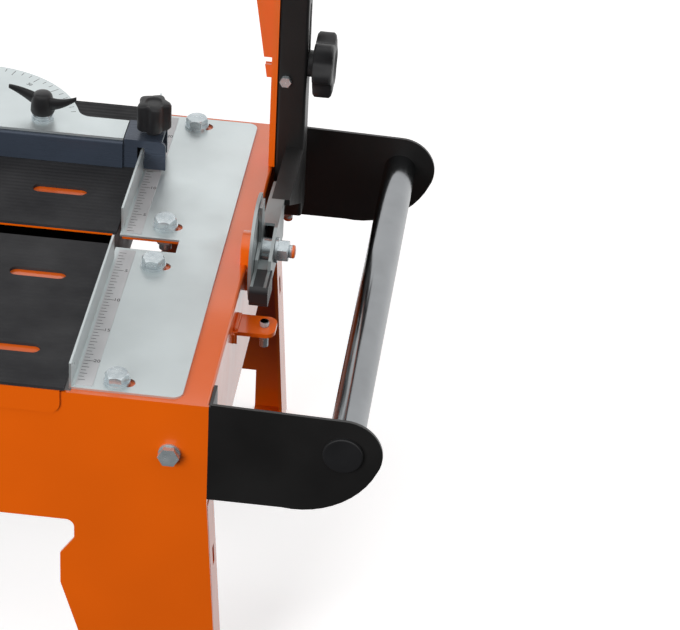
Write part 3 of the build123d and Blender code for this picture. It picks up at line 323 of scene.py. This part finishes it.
def bright_zinc():
    plating = Finish("bright_zinc", Metallic=0.62, IOR=1.9)
    plating.colour(plating.noise(90, 3), [(0.3, (0.44, 0.50, 0.53)), (0.7, (0.66, 0.72, 0.74))])
    plating.roughness(plating.noise(300, 3), 0.14, 0.30)
    plating.normal(plating.bump(plating.noise(900, 2), 0.12, 0.0002))
    return plating.material


TABLE_ZINC = zinc_sheet("table_zinc", (1, 0.06, 1))
ARM_ZINC = zinc_sheet("arm_zinc", (1, 0.08, 1), 0.62)
BRIGHT_ZINC = bright_zinc()
print("zinc ready")

# %% [markdown]
# ## Rubber, plastics and black paint
# The mats are fine ribbed rubber, so a wave texture across the machine makes ribs three
# millimetres apart under a cloud of dust and wear. The plastics are moulded with a spark eroded
# grain. The handles' powder coat is satin, with a finer, shallower grain.

# %% rubber, plastic, black paint


def ribbed_rubber():
    rubber = Finish("ribbed_rubber", Specular_IOR_Level=0.16)
    clouds = rubber.noise(14, 5)
    rubber.colour(clouds, [(0.3, (0.022, 0.022, 0.024)), (0.7, (0.042, 0.042, 0.044))])
    rubber.roughness(rubber.noise(40), 0.55, 0.75)
    rib = rubber.add("ShaderNodeTexWave", bands_direction="Y", Scale=52.0, Distortion=0.4,
                     Detail=1.0, Detail_Scale=2.0)
    rubber.link(rubber.coords, rib.inputs["Vector"])
    grain = rubber.bump(rubber.noise(1400, 2), 0.25, 0.0003)
    rubber.normal(rubber.bump(rib.outputs["Fac"], 0.30, 0.0006, grain))
    return rubber.material


def moulded_plastic(name, colour, rough=0.42, grain=0.22):
    plastic = Finish(name, IOR=1.48)
    plastic.colour(plastic.noise(35, 3), [(0.3, shade(colour, 0.85)), (0.7, shade(colour, 1.15))])
    plastic.roughness(plastic.noise(60, 3), rough - 0.06, rough + 0.08)
    plastic.normal(plastic.bump(plastic.noise(1600, 2), grain, 0.00025))
    return plastic.material


def satin_black():
    coat = Finish("satin_black", Coat_Weight=0.25, Coat_Roughness=0.3)
    coat.colour(coat.noise(12, 4), [(0.3, (0.0075, 0.0072, 0.0072)), (0.7, (0.0135, 0.013, 0.013))])
    coat.roughness(coat.noise(28, 4), 0.40, 0.52)
    coat.normal(coat.bump(coat.noise(1100, 3), 0.16, 0.0004))
    return coat.material


RIBBED_RUBBER = ribbed_rubber()
BLACK_PLASTIC = moulded_plastic("black_plastic", (0.013, 0.013, 0.014))
RED_PLASTIC = moulded_plastic("red_plastic", (0.45, 0.012, 0.008), 0.25, 0.05)
GREEN_PLASTIC = moulded_plastic("green_plastic", (0.01, 0.22, 0.035), 0.25, 0.05)
NYLON = moulded_plastic("nylon", (0.55, 0.53, 0.46), 0.45, 0.1)
SATIN_BLACK = satin_black()
print("rubber, plastics and black paint ready")

# %% [markdown]
# ## Steels, aluminium and brass
# Metals differ in the direction of their marks. Ground bar and tube are marked along their length,
# a cast motor body is evenly pebbled, and turned brass is nearly smooth. One function takes the
# colour, the roughness and the stretch of the marks.

# %% metals


def worked_metal(name, colour, rough, stretch=(1, 1, 1), marks=300, depth=0.1, metallic=1.0):
    metal = Finish(name, Metallic=metallic)
    metal.colour(metal.noise(18, 4), [(0.3, shade(colour, 0.88)), (0.7, shade(colour, 1.1))])
    metal.roughness(metal.noise(marks, 3, stretch), rough * 0.75, rough * 1.3)
    metal.normal(metal.bump(metal.noise(marks * 2, 3, stretch), depth, 0.0003))
    return metal.material


POLISHED_TUBE = worked_metal("polished_tube", (0.27, 0.28, 0.29), 0.16, (1, 0.03, 1), 160, 0.03)
RAIL_STEEL = worked_metal("rail_steel", (0.45, 0.46, 0.47), 0.26, (0.03, 1, 1), 400)
CAST_ALUMINIUM = worked_metal("cast_aluminium", (0.22, 0.23, 0.24), 0.5, marks=500, depth=0.5,
                              metallic=0.8)
GROUND_STEEL = worked_metal("ground_steel", (0.40, 0.40, 0.42), 0.24, marks=700)
BRASS = worked_metal("brass", (0.62, 0.42, 0.13), 0.2)
# The guide bar and its bracket are zinc plated; their dark blue grey colour is a painted reflection
# of dark surroundings.
GUIDE_PAINTED_REFLECTION = worked_metal("guide_painted_reflection", (0.055, 0.070, 0.098), 0.30, (0.05, 1, 1), 300, 0.08,
                           0.35)
RULER_FACE = worked_metal("ruler_face", (0.60, 0.60, 0.61), 0.38, (1, 0.05, 1), 300, 0.04, 0.3)
print("metals ready")

# %% [markdown]
# ## The blade
# A diamond blade is ground steel with a grey, gritty rim. Distance from the blade's axis decides
# which is which, so the coordinates are first moved to put the axis at zero.

# %% blade steel


def diamond_blade():
    steel = Finish("diamond_blade", Metallic=0.95)
    hub = middle["saw_blade"]
    centre = steel.add("ShaderNodeMapping", Location=tuple(-hub))
    steel.link(steel.coords, centre.inputs["Vector"])
    length = steel.add("ShaderNodeVectorMath", operation="LENGTH")
    steel.link(centre.outputs["Vector"], length.inputs[0])
    rim_start = float(high["saw_blade"][0] - hub[0]) - 9 * MM
    steel.colour(length.outputs["Value"], [
        (rim_start - 0.0005, (0.40, 0.41, 0.43)), (rim_start + 0.0005, (0.16, 0.155, 0.15))])
    rings = steel.add("ShaderNodeTexWave", wave_type="RINGS", rings_direction="Y", Scale=90.0,
                      Distortion=3.0, Detail=2.0)
    steel.link(centre.outputs["Vector"], rings.inputs["Vector"])
    steel.roughness(rings.outputs["Fac"], 0.24, 0.40)
    steel.normal(steel.bump(steel.noise(900, 3), 0.25, 0.0003))
    return steel.material


DIAMOND_BLADE = diamond_blade()
print("blade steel ready")

# %% [markdown]
# ## The floor's material
# A plain pale floor: white enough to fade into the background, with just enough variation to be a
# surface.

# %% floor material


def pale_floor():
    matt = Finish("pale_floor", Specular_IOR_Level=0.1, Emission_Color=(1, 1, 1, 1),
                  Emission_Strength=0.46)
    matt.colour(matt.noise(2, 2), [(0.3, (0.955, 0.955, 0.955)), (0.7, (0.97, 0.97, 0.97))])
    matt.roughness(matt.noise(5), 0.8, 0.9)
    return matt.material


floor_mesh.materials.append(pale_floor())
print("floor ready")

# %% [markdown]
# ## Dressing the fixed shapes
# A carried-over shape keeps its mesh and only changes its material slot. The table below pairs each
# finish with the parts that have it on the real machine; the guide's dark colour is a painted
# reflection.

# %% assign finishes
FINISHES = [
    (ORANGE_PAINT, ["front_panel", "rear_panel", "left_end_panel", "right_end_panel", "front_pan",
                    "rear_pan", "frame_brackets", "rail_plates", "carriage_frame", "blade_guard"]),
    (TABLE_ZINC, ["left_table_plate", "right_table_plate", "protractor_plate", "tray_supports"]),
    (ARM_ZINC, ["arm_plates", "quadrant_plates"]),
    (BRIGHT_ZINC, ["table_bolts", "frame_bolts", "tab_screws", "pivot_fasteners", "column_bolts",
                   "guide_bolts", "roller_axles", "protractor_screw", "blade_nut"]),
    (RIBBED_RUBBER, ["front_mat", "rear_mat"]),
    (SATIN_BLACK, ["handle_plates", "columns", "fan_cover"]),
    (BLACK_PLASTIC, ["handle_caps", "arm_caps", "water_tray", "water_pump", "drain_plug",
                     "switch_box", "cable_gland", "handle_grip", "left_lock_knob",
                     "right_lock_knob", "clamp_knob", "wing_knob"]),
    (POLISHED_TUBE, ["handle_tubes", "push_handle"]),
    (GUIDE_PAINTED_REFLECTION, ["guide_bar", "guide_bracket"]),
    (RAIL_STEEL, ["guide_rail"]),
    (CAST_ALUMINIUM, ["motor_housing"]),
    (NYLON, ["upper_left_roller", "upper_right_roller", "lower_left_roller", "lower_right_roller"]),
    (DIAMOND_BLADE, ["saw_blade"]),
    (GROUND_STEEL, ["blade_flanges", "motor_shaft"]),
    (BRASS, ["valve_body"]),
    (RED_PLASTIC, ["stop_button", "valve_lever"]),
    (GREEN_PLASTIC, ["start_button"]),
    (RULER_FACE, ["rulers"]),
]


def dress(node, material):
    """Gives a carried-over shape one material in every slot that it has."""
    slots = NODES[node].data.materials
    if not slots:
        slots.append(material)
    for index in range(len(slots)):
        slots[index] = material


for material, names in FINISHES:
    for name in names:
        dress(name, material)
undressed = sorted(set(NODES) - {n for _, names in FINISHES for n in names})
print("dressed", len(NODES) - len(undressed), "nodes, left:", undressed)

# %% [markdown]
# ## Surfaces from parameter grids
# Every added piece is a grid of points: one parameter goes round or across, the other goes along.
# Whole arrays of points are worked out at once, and the quads between neighbours are found by
# index arithmetic. Ends are closed with one many-sided face, so each piece is a solid shell.

# %% grid to mesh


def grid_faces(rows, columns, wrap):
    """Quads of a rows by columns grid; wrap joins the last column to the first."""
    row = np.arange(rows - 1)[:, None]
    column = np.arange(columns if wrap else columns - 1)[None, :]
    after = (column + 1) % columns
    corners = [row * columns + column, row * columns + after,
               (row + 1) * columns + after, (row + 1) * columns + column]
    return np.stack(np.broadcast_arrays(*corners), axis=-1).reshape(-1, 4)


def make_mesh(name, points, faces, material, smooth=True):
    """An object from points and a list of faces."""
    mesh = bpy.data.meshes.new(name)
    rows = np.asarray(points).reshape(-1, 3).tolist()
    mesh.from_pydata(rows, [], [list(map(int, face)) for face in faces])
    mesh.validate()
    mesh.materials.append(material)
    mesh.polygons.foreach_set("use_smooth", np.full(len(mesh.polygons), smooth))
    piece = bpy.data.objects.new(name, mesh)
    scene.collection.objects.link(piece)
    return piece


def face_outwards(piece):
    """Turns a closed shell's faces outwards, whichever way its grid ran."""
    shell = bmesh.new()
    shell.from_mesh(piece.data)
    bmesh.ops.remove_doubles(shell, verts=shell.verts, dist=1e-7)
    bmesh.ops.recalc_face_normals(shell, faces=shell.faces)
    shell.to_mesh(piece.data)
    shell.free()


def closed_tube(name, rings, material):
    """A shell from rings of points, (rows, columns, 3), closed at both ends."""
    rows, columns, _ = rings.shape
    faces = list(grid_faces(rows, columns, True))
    faces.append(list(range(columns))[::-1])
    faces.append([(rows - 1) * columns + i for i in range(columns)])
    piece = make_mesh(name, rings, faces, material)
    face_outwards(piece)
    return piece


def sharp_edges(piece, degrees=35):
    """Keeps edges crisp where faces meet at more than an angle."""
    piece.data.set_sharp_from_angle(angle=radians(degrees))
    return piece


AXES = {"X": ((0, 1, 0), (0, 0, 1), (1, 0, 0)),
        "Y": ((0, 0, 1), (1, 0, 0), (0, 1, 0)),
        "Z": ((1, 0, 0), (0, 1, 0), (0, 0, 1))}


def turned_rings(profile, origin, axis, sides=48, swell=None):
    """Rings of a turned shape: radius r and height h of each profile point about an axis.

    A point is origin + r*swell(angle)*(cos(angle)*a + sin(angle)*b) + h*c, with a, b across and c
    along the axis.
    """
    across, over, along = (np.array(v, float) for v in AXES[axis.strip("-")])
    if axis.startswith("-"):
        along, across = -along, -across
    radius, height = np.array(profile, float).T
    angle = np.linspace(0, 2 * pi, sides, endpoint=False)
    grow = np.ones((len(radius), sides))
    if swell is not None:
        grow = swell(angle[None, :], radius[:, None])
    reach = radius[:, None] * grow
    return (np.array(origin) + reach[..., None] * (np.cos(angle)[None, :, None] * across
            + np.sin(angle)[None, :, None] * over) + height[:, None, None] * along)


# %% [markdown]
# ## Screw threads
# A stud's thread is a ridge that climbs one pitch each turn. On a grid, the angle goes round and
# the height goes up, and the radius follows a triangle wave of height divided by pitch less the
# angle. The sleeve lies a hair outside the plain shank of the frame's bolt.

# %% threads


def thread(name, origin, axis, radius, length, pitch, body, depth=0.35):
    """Radius is crest minus depth times the distance from the ridge, a triangle wave."""
    sides, steps = 36, int(length / pitch * 8) + 1
    angle = np.linspace(0, 2 * pi, sides, endpoint=False)[None, :]
    height = np.linspace(0, length, steps)[:, None]
    phase = (height / pitch - angle / (2 * pi)) % 1.0
    ridge = 1 - np.abs(2 * phase - 1)
    ends = np.minimum(height, length - height) / pitch
    reach = radius + 0.06 * MM + depth * MM * ridge * np.clip(ends, 0, 1)
    across, over, along = (np.array(v, float) for v in AXES[axis])
    rings = (np.array(origin) + reach[..., None] * (np.cos(angle)[..., None] * across
             + np.sin(angle)[..., None] * over) + height[..., None] * along)
    piece = closed_tube(name, rings, BRIGHT_ZINC)
    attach(piece, body)
    return piece


STUD_END = float(high["pivot_fasteners"][0])
TAB_X, TAB_Y = END + 27 * MM, float(middle["tab_screws"][1])     # screw of the stop tab
TAB_TOP = TABLE - 22 * MM
STOP_X, STOP_Y, STOP_Z = END + 16 * MM, 179 * MM, TABLE - 68.5 * MM      # end of the stop bolt
M8, M8_PITCH = 4 * MM, 1.25 * MM
M12, M12_PITCH = 6 * MM, 1.75 * MM
ENDS = (("right", 1), ("left", -1))
for label, side in ENDS:
    stud = (STUD_END - 5 * MM if side > 0 else -STUD_END, 0, TILT_AXIS[2])
    thread(f"{label}_stud_thread", stud, "X", M12, 5 * MM, M12_PITCH, "base")
    tab = (side * TAB_X, TAB_Y, TAB_TOP)
    thread(f"{label}_tab_thread", tab, "Z", M8, 5 * MM, M8_PITCH, "base")
    stop = (side * STOP_X, STOP_Y, STOP_Z)
    thread(f"{label}_stop_thread", stop, "Z", M8, 7 * MM, M8_PITCH, "bridge")
print("threads cut")

# %% [markdown]
# ## Ruler marks
# The strips beside the fences are numbered from the blade outwards, in centimetres. The marks are
# hair-thin boxes, all made in one array: a box is one unit cube of eight corners, scaled and
# moved to each mark's place. Numbers are text turned to mesh, sunk level with the strip.

# %% ruler marks
BOX_SIDES = np.array([(0, 1, 3, 2), (4, 6, 7, 5), (0, 4, 5, 1), (2, 3, 7, 6), (0, 2, 6, 4),
                      (1, 5, 7, 3)])


def boxes(name, centres, sizes, material, body):
    """Many boxes in one mesh: each is the unit cube's corners times size plus centre."""
    centres, sizes = np.asarray(centres, float), np.asarray(sizes, float)
    unit = np.array([(x, y, z) for x in (-.5, .5) for y in (-.5, .5) for z in (-.5, .5)])
    points = centres[:, None, :] + unit[None] * sizes[:, None, :]
    faces = (BOX_SIDES[None] + 8 * np.arange(len(centres))[:, None, None]).reshape(-1, 4)
    piece = make_mesh(name, points, faces, material, smooth=False)
    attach(piece, body)
    return piece


INK = moulded_plastic("ink", (0.02, 0.02, 0.022), 0.5, 0.05)
STRIP_TOP = float(high["rulers"][2])
STRIP_X = FENCE + 4.5 * MM
NUMBER_X, NUMBER_SHIFT, NUMBER_SIZE = STRIP_X + 12.6 * MM, 0.4 * MM, 6.2 * MM


def ruler_marks(label, side):
    """Marks each 5 mm from the blade out, longer at 10 mm and longest at 50 mm."""
    steps = np.arange(4, 48)
    reach = np.concatenate([-steps[steps < 47], steps]) * 5 * MM
    length = np.where(np.round(reach / (50 * MM), 6) % 1 == 0, 9.0,
                      np.where(np.round(reach / (10 * MM), 6) % 1 == 0, 6.5, 4.5)) * MM
    x = STRIP_X + 1.0 * MM + length / 2
    centres = np.stack([side * x, reach, np.full_like(x, STRIP_TOP + 0.02 * MM)], axis=1)
    sizes = np.stack([length, np.full_like(x, 0.55 * MM), np.full_like(x, 0.1 * MM)], axis=1)
    return boxes(f"{label}_ruler_marks", centres, sizes, INK, "base")


def numeral(name, text, spot, height, body, turn=0.0):
    """A number lying flat: text made into a mesh, then placed in its mesh."""
    curve = bpy.data.curves.new(name, "FONT")
    curve.body = text
    curve.size = height
    curve.extrude = 0.04 * MM
    curve.align_x, curve.align_y = "CENTER", "CENTER"
    carrier = bpy.data.objects.new(name, curve)
    mesh = bpy.data.meshes.new_from_object(carrier)
    bpy.data.objects.remove(carrier)
    mesh.transform(Matrix.Translation(spot) @ Matrix.Rotation(turn, 4, "Z"))
    mesh.materials.clear()
    mesh.materials.append(INK)
    piece = bpy.data.objects.new(name, mesh)
    scene.collection.objects.link(piece)
    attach(piece, body)
    return piece


for label, side in ENDS:
    ruler_marks(label, side)
    for centimetres in (5, 10, 15, 20):
        for way, word in ((-1, "front"), (1, "rear")):
            spot = (side * NUMBER_X, way * centimetres * 10 * MM + NUMBER_SHIFT,
                    STRIP_TOP + 0.03 * MM)
            numeral(f"{label}_{word}_number_{centimetres}", str(centimetres), spot, NUMBER_SIZE,
                    "base")
print("rulers marked")

# %% [markdown]
# ## Protractor scale
# The arc is engraved each 5 degrees, longer each 15. The marks radiate from the arc's centre, so
# each is a thin slab along a ray: two radii give its ends, and a step across the ray its sides.

# %% protractor scale
SLAB_SIDES = np.array([(3, 2, 1, 0), (4, 5, 6, 7), (0, 1, 5, 4), (1, 2, 6, 5), (2, 3, 7, 6),
                       (3, 0, 4, 7)])
PLATE_TOP = float(high["protractor_plate"][2])
ARC_R = 112 * MM
ARC_CENTRE = np.array([FENCE - 175 * MM, float(high["protractor_plate"][1]) - ARC_R])


def scale_marks():
    """Corners are centre + r*ray +- side, at two radii r and two heights."""
    angle = np.radians(np.arange(20, 161, 5))
    long_mark = np.isclose(np.degrees(angle) % 15, 0) | np.isclose(np.degrees(angle) % 15, 15)
    inner = ARC_R - np.where(long_mark, 12, 8) * MM
    outer = np.full_like(angle, ARC_R - 3 * MM)
    ray = np.stack([np.cos(angle), np.sin(angle)], axis=1)
    side = np.stack([-np.sin(angle), np.cos(angle)], axis=1) * 0.3 * MM
    start, end = ARC_CENTRE + ray * inner[:, None], ARC_CENTRE + ray * outer[:, None]
    flat = np.stack([start - side, end - side, end + side, start + side], axis=1)
    heights = np.array([PLATE_TOP - 0.05 * MM, PLATE_TOP + 0.05 * MM])
    points = np.concatenate([np.concatenate([flat, np.full(flat.shape[:2] + (1,), z)], axis=2)
                             for z in heights], axis=1)
    faces = (SLAB_SIDES[None] + 8 * np.arange(len(angle))[:, None, None]).reshape(-1, 4)
    piece = make_mesh("protractor_marks", points, faces, INK, smooth=False)
    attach(piece, "protractor")
    return piece


scale_marks()
for mark in (30, 45, 60, 90, 120, 135, 150):
    ray = np.array([cos(radians(mark)), sin(radians(mark))])
    spot = ARC_CENTRE + ray * (ARC_R - 18 * MM)
    numeral(f"protractor_number_{mark}", str(abs(90 - mark)),
            (spot[0], spot[1], PLATE_TOP + 0.03 * MM), 6 * MM, "protractor", radians(mark - 90))
print("protractor engraved")

# %% [markdown]
# ## Moulded knobs
# A star knob is a turned shape whose radius swells in lobes. The swell is one cosine, weighted so
# that the hub stays round, and the rim's profile is rounded as a mould needs. The clamp knob's
# profile starts with its screw.

# %% star knobs


def star_knob(name, origin, axis, rim, thick, lobes, body, node, stem):
    """A turned profile; at the rim the radius is multiplied by 0.9 + 0.13 cos(lobes*angle)."""
    hub = rim * 0.42
    foot = [(stem[0], -stem[1]), (stem[0], 0.0)] if stem else [(rim * 0.05, 0.0)]
    profile = foot + [
        (hub, 0.0), (hub, 5 * MM), (rim * 0.75, 5.2 * MM), (rim * 0.93, 6 * MM), (rim, 8 * MM),
        (rim, thick - 3 * MM), (rim * 0.94, thick - 1 * MM), (rim * 0.82, thick),
        (rim * 0.5, thick + 0.4 * MM), (rim * 0.42, thick - 1.2 * MM),
        (rim * 0.05, thick - 1.2 * MM)]

    def lobed(angle, radius):
        weight = np.clip((radius - hub) / (rim - hub), 0, 1) ** 1.5
        return 1 + weight * (0.13 * np.cos(lobes * angle) - 0.10)

    rings = turned_rings(profile, origin, axis, 96, lobed)
    knob = closed_tube(name, rings, BLACK_PLASTIC)
    sharp_edges(knob, 40)
    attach(knob, body)
    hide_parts(node)
    return knob


LOCK_RIM, LOCK_DEPTH = 31 * MM, 25 * MM
CLAMP_RIM, CLAMP_DEPTH, CLAMP_SCREW = 17 * MM, 34 * MM, 3.9 * MM
CLAMP_X, CLAMP_Y = FENCE + 9 * MM, 148 * MM
for label, side in ENDS:
    node = f"{label}_lock_knob"
    face = high[node][0] if side > 0 else low[node][0]
    spot = (face - side * LOCK_DEPTH, middle[node][1], middle[node][2])
    star_knob(f"{label}_lock_star", spot, "X" if side > 0 else "-X", LOCK_RIM, LOCK_DEPTH, 6,
              f"{label}_lock", node, None)
clamp_base = float(high["clamp_knob"][2]) - CLAMP_DEPTH
clamp_stem = (CLAMP_SCREW, float(clamp_base - low["clamp_knob"][2]))
star_knob("clamp_star", (CLAMP_X, CLAMP_Y, clamp_base), "Z", CLAMP_RIM, CLAMP_DEPTH, 5, "clamp",
          "clamp_knob", clamp_stem)
print("star knobs moulded")

# %% [markdown]
# ## The wing knob
# The hub is turned. Each wing is a row of ovals carried along a rising curve, getting thinner to
# the tip. Both run into the hub, as one moulding would, but stay closed shells of their own.

# %% wing knob
WING = np.array([float(middle["protractor_screw"][0]), float(middle["protractor_screw"][1]),
                 float(low["wing_knob"][2])])


def wing_rings(start_angle):
    """Ovals along a rising, outward curve; half width and half thickness shrink to the tip."""
    along = np.linspace(0, 1, 18)
    reach = 4 * MM + 31 * MM * along
    rise = (12 + 10 * along ** 1.6) * MM
    half_tall = (7.5 - 5.2 * along ** 1.3) * MM
    half_wide = (4.2 - 2.6 * along) * MM
    sway = radians(14) * along ** 2 + start_angle
    angle = np.linspace(0, 2 * pi, 24, endpoint=False)
    out = np.stack([np.cos(sway), np.sin(sway), np.zeros_like(sway)], axis=1)
    side = np.stack([-np.sin(sway), np.cos(sway), np.zeros_like(sway)], axis=1)
    spine = WING + out * reach[:, None] + np.array([0, 0, 1]) * rise[:, None]
    return (spine[:, None] + side[:, None] * (half_wide[:, None] * np.cos(angle))[..., None]
            + np.array([0, 0, 1]) * (half_tall[:, None] * np.sin(angle))[..., None])


hub_profile = [(9 * MM, 0), (11 * MM, 0.6 * MM), (12 * MM, 3 * MM), (11.2 * MM, 12 * MM),
               (9.6 * MM, 19 * MM), (8 * MM, 21.4 * MM), (5 * MM, 22.4 * MM), (0.3 * MM, 22.6 * MM)]
wing_parts = [closed_tube("wing_hub", turned_rings(hub_profile, WING, "Z"), BLACK_PLASTIC)]
for turn in (155, 335):
    wing_parts.append(closed_tube(f"wing_{turn}", wing_rings(radians(turn)), BLACK_PLASTIC))
for part in wing_parts:
    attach(part, "wing")
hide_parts("wing_knob")
print("wing knob moulded")

# %% [markdown]
# ## The push handle's grip
# A rubber sleeve with raised rings. Its profile is a row of half circles on a plain tube, worked
# out as the absolute value of a sine, and then turned.

# %% grip
GRIP_BORE, GRIP_EDGE, GRIP_RINGS = 11 * MM, 12.6 * MM, 6
grip_length = float(high["handle_grip"][0] - low["handle_grip"][0])
steps = np.linspace(0, grip_length, 97)
rings_height = 13.4 * MM + 2.9 * MM * np.abs(np.sin(steps / grip_length * GRIP_RINGS * pi)) ** 0.6
grip_profile = [(GRIP_BORE, 0), (GRIP_EDGE, 0)] + list(zip(rings_height, steps)) + [
    (GRIP_EDGE, grip_length), (GRIP_BORE, grip_length)]
grip_at = [float(low["handle_grip"][0])] + [float(v) for v in middle["handle_grip"][1:]]
grip = closed_tube("rubber_grip", turned_rings(grip_profile, grip_at, "X"), BLACK_PLASTIC)
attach(grip, "carriage")
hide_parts("handle_grip")
print("grip", round(grip_length, 3), "m long")

# %% [markdown]
# ## Weld beads
# Lugs and tabs are welded to the frame and painted with it. A bead is a small half round carried
# along the joint, with a ripple each time the torch paused: the radius is a base value plus a
# sharpened sine of the distance along it.

# %% welds


def weld(name, start, end, radius, body):
    """Rings across a straight run; radius ripples each 2.2 mm and tapers at both ends."""
    start, end = np.array(start, float), np.array(end, float)
    length = np.linalg.norm(end - start)
    along = (end - start) / length
    helper = np.array([0, 0, 1.0]) if abs(along[2]) < 0.9 else np.array([0, 1.0, 0])
    across = np.cross(along, helper)
    across /= np.linalg.norm(across)
    over = np.cross(along, across)
    spot = np.linspace(0, length, int(length / (0.45 * MM)))
    ripple = np.abs(np.sin(pi * spot / (2.2 * MM))) ** 0.7
    taper = np.clip(np.minimum(spot, length - spot) / (1.5 * MM), 0.25, 1)
    reach = radius * (0.82 + 0.22 * ripple) * taper
    angle = np.linspace(0, 2 * pi, 16, endpoint=False)
    rings = ((start + along * spot[:, None])[:, None]
             + reach[:, None, None] * (np.cos(angle)[None, :, None] * across
                                       + np.sin(angle)[None, :, None] * over))
    bead = closed_tube(name, rings, ORANGE_PAINT)
    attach(bead, body)
    return bead


LUG_BOTTOM, LUG_TOP = TABLE - 30 * MM, TABLE - 6 * MM
TAB_BOTTOM = TABLE - 34 * MM
for label, side in ENDS:
    x = side * (END + 0.3 * MM)
    for edge, y in (("front", -16 * MM), ("back", 16 * MM)):
        weld(f"{label}_lug_weld_{edge}", (x, y, LUG_BOTTOM), (x, y, LUG_TOP), 2.4 * MM, "base")
        beside = TAB_Y + 1.06 * y
        weld(f"{label}_tab_weld_{edge}", (x, beside, TAB_BOTTOM), (x, beside, TAB_TOP), 2.0 * MM,
             "base")
    x, z = side * (END + 1.6 * MM), TAB_TOP + 1 * MM
    weld(f"{label}_tab_weld_top", (x, TAB_Y - 14 * MM, z), (x, TAB_Y + 14 * MM, z), 2.6 * MM,
         "base")
print("welds laid")

# %% [markdown]
# ## Locking paint on the screw ends
# The saw's maker dabs orange paint on set screws so that they can't work loose. A dab is a
# turned drop: flat below, round above, slightly wider than the thread.

# %% paint dabs


def paint_dab(name, origin, axis, radius, height, body):
    """A quarter ellipse turned about the screw's axis."""
    t = np.linspace(0, pi / 2, 9)
    profile = [(radius, -2.4 * MM)] + list(zip(radius * np.cos(t) + 0.01 * MM, height * np.sin(t)))
    dab = closed_tube(name, turned_rings(profile, origin, axis, 32), ORANGE_PAINT)
    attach(dab, body)
    return dab


for label, side in ENDS:
    paint_dab(f"{label}_stud_paint", (side * STUD_END, 0, TILT_AXIS[2]), "X" if side > 0 else "-X",
              6.3 * MM, 1.6 * MM, "base")
    paint_dab(f"{label}_stop_paint", (side * STOP_X, STOP_Y, STOP_Z), "-Z", 4.4 * MM, 1.2 * MM,
              "bridge")
print("screw ends painted")
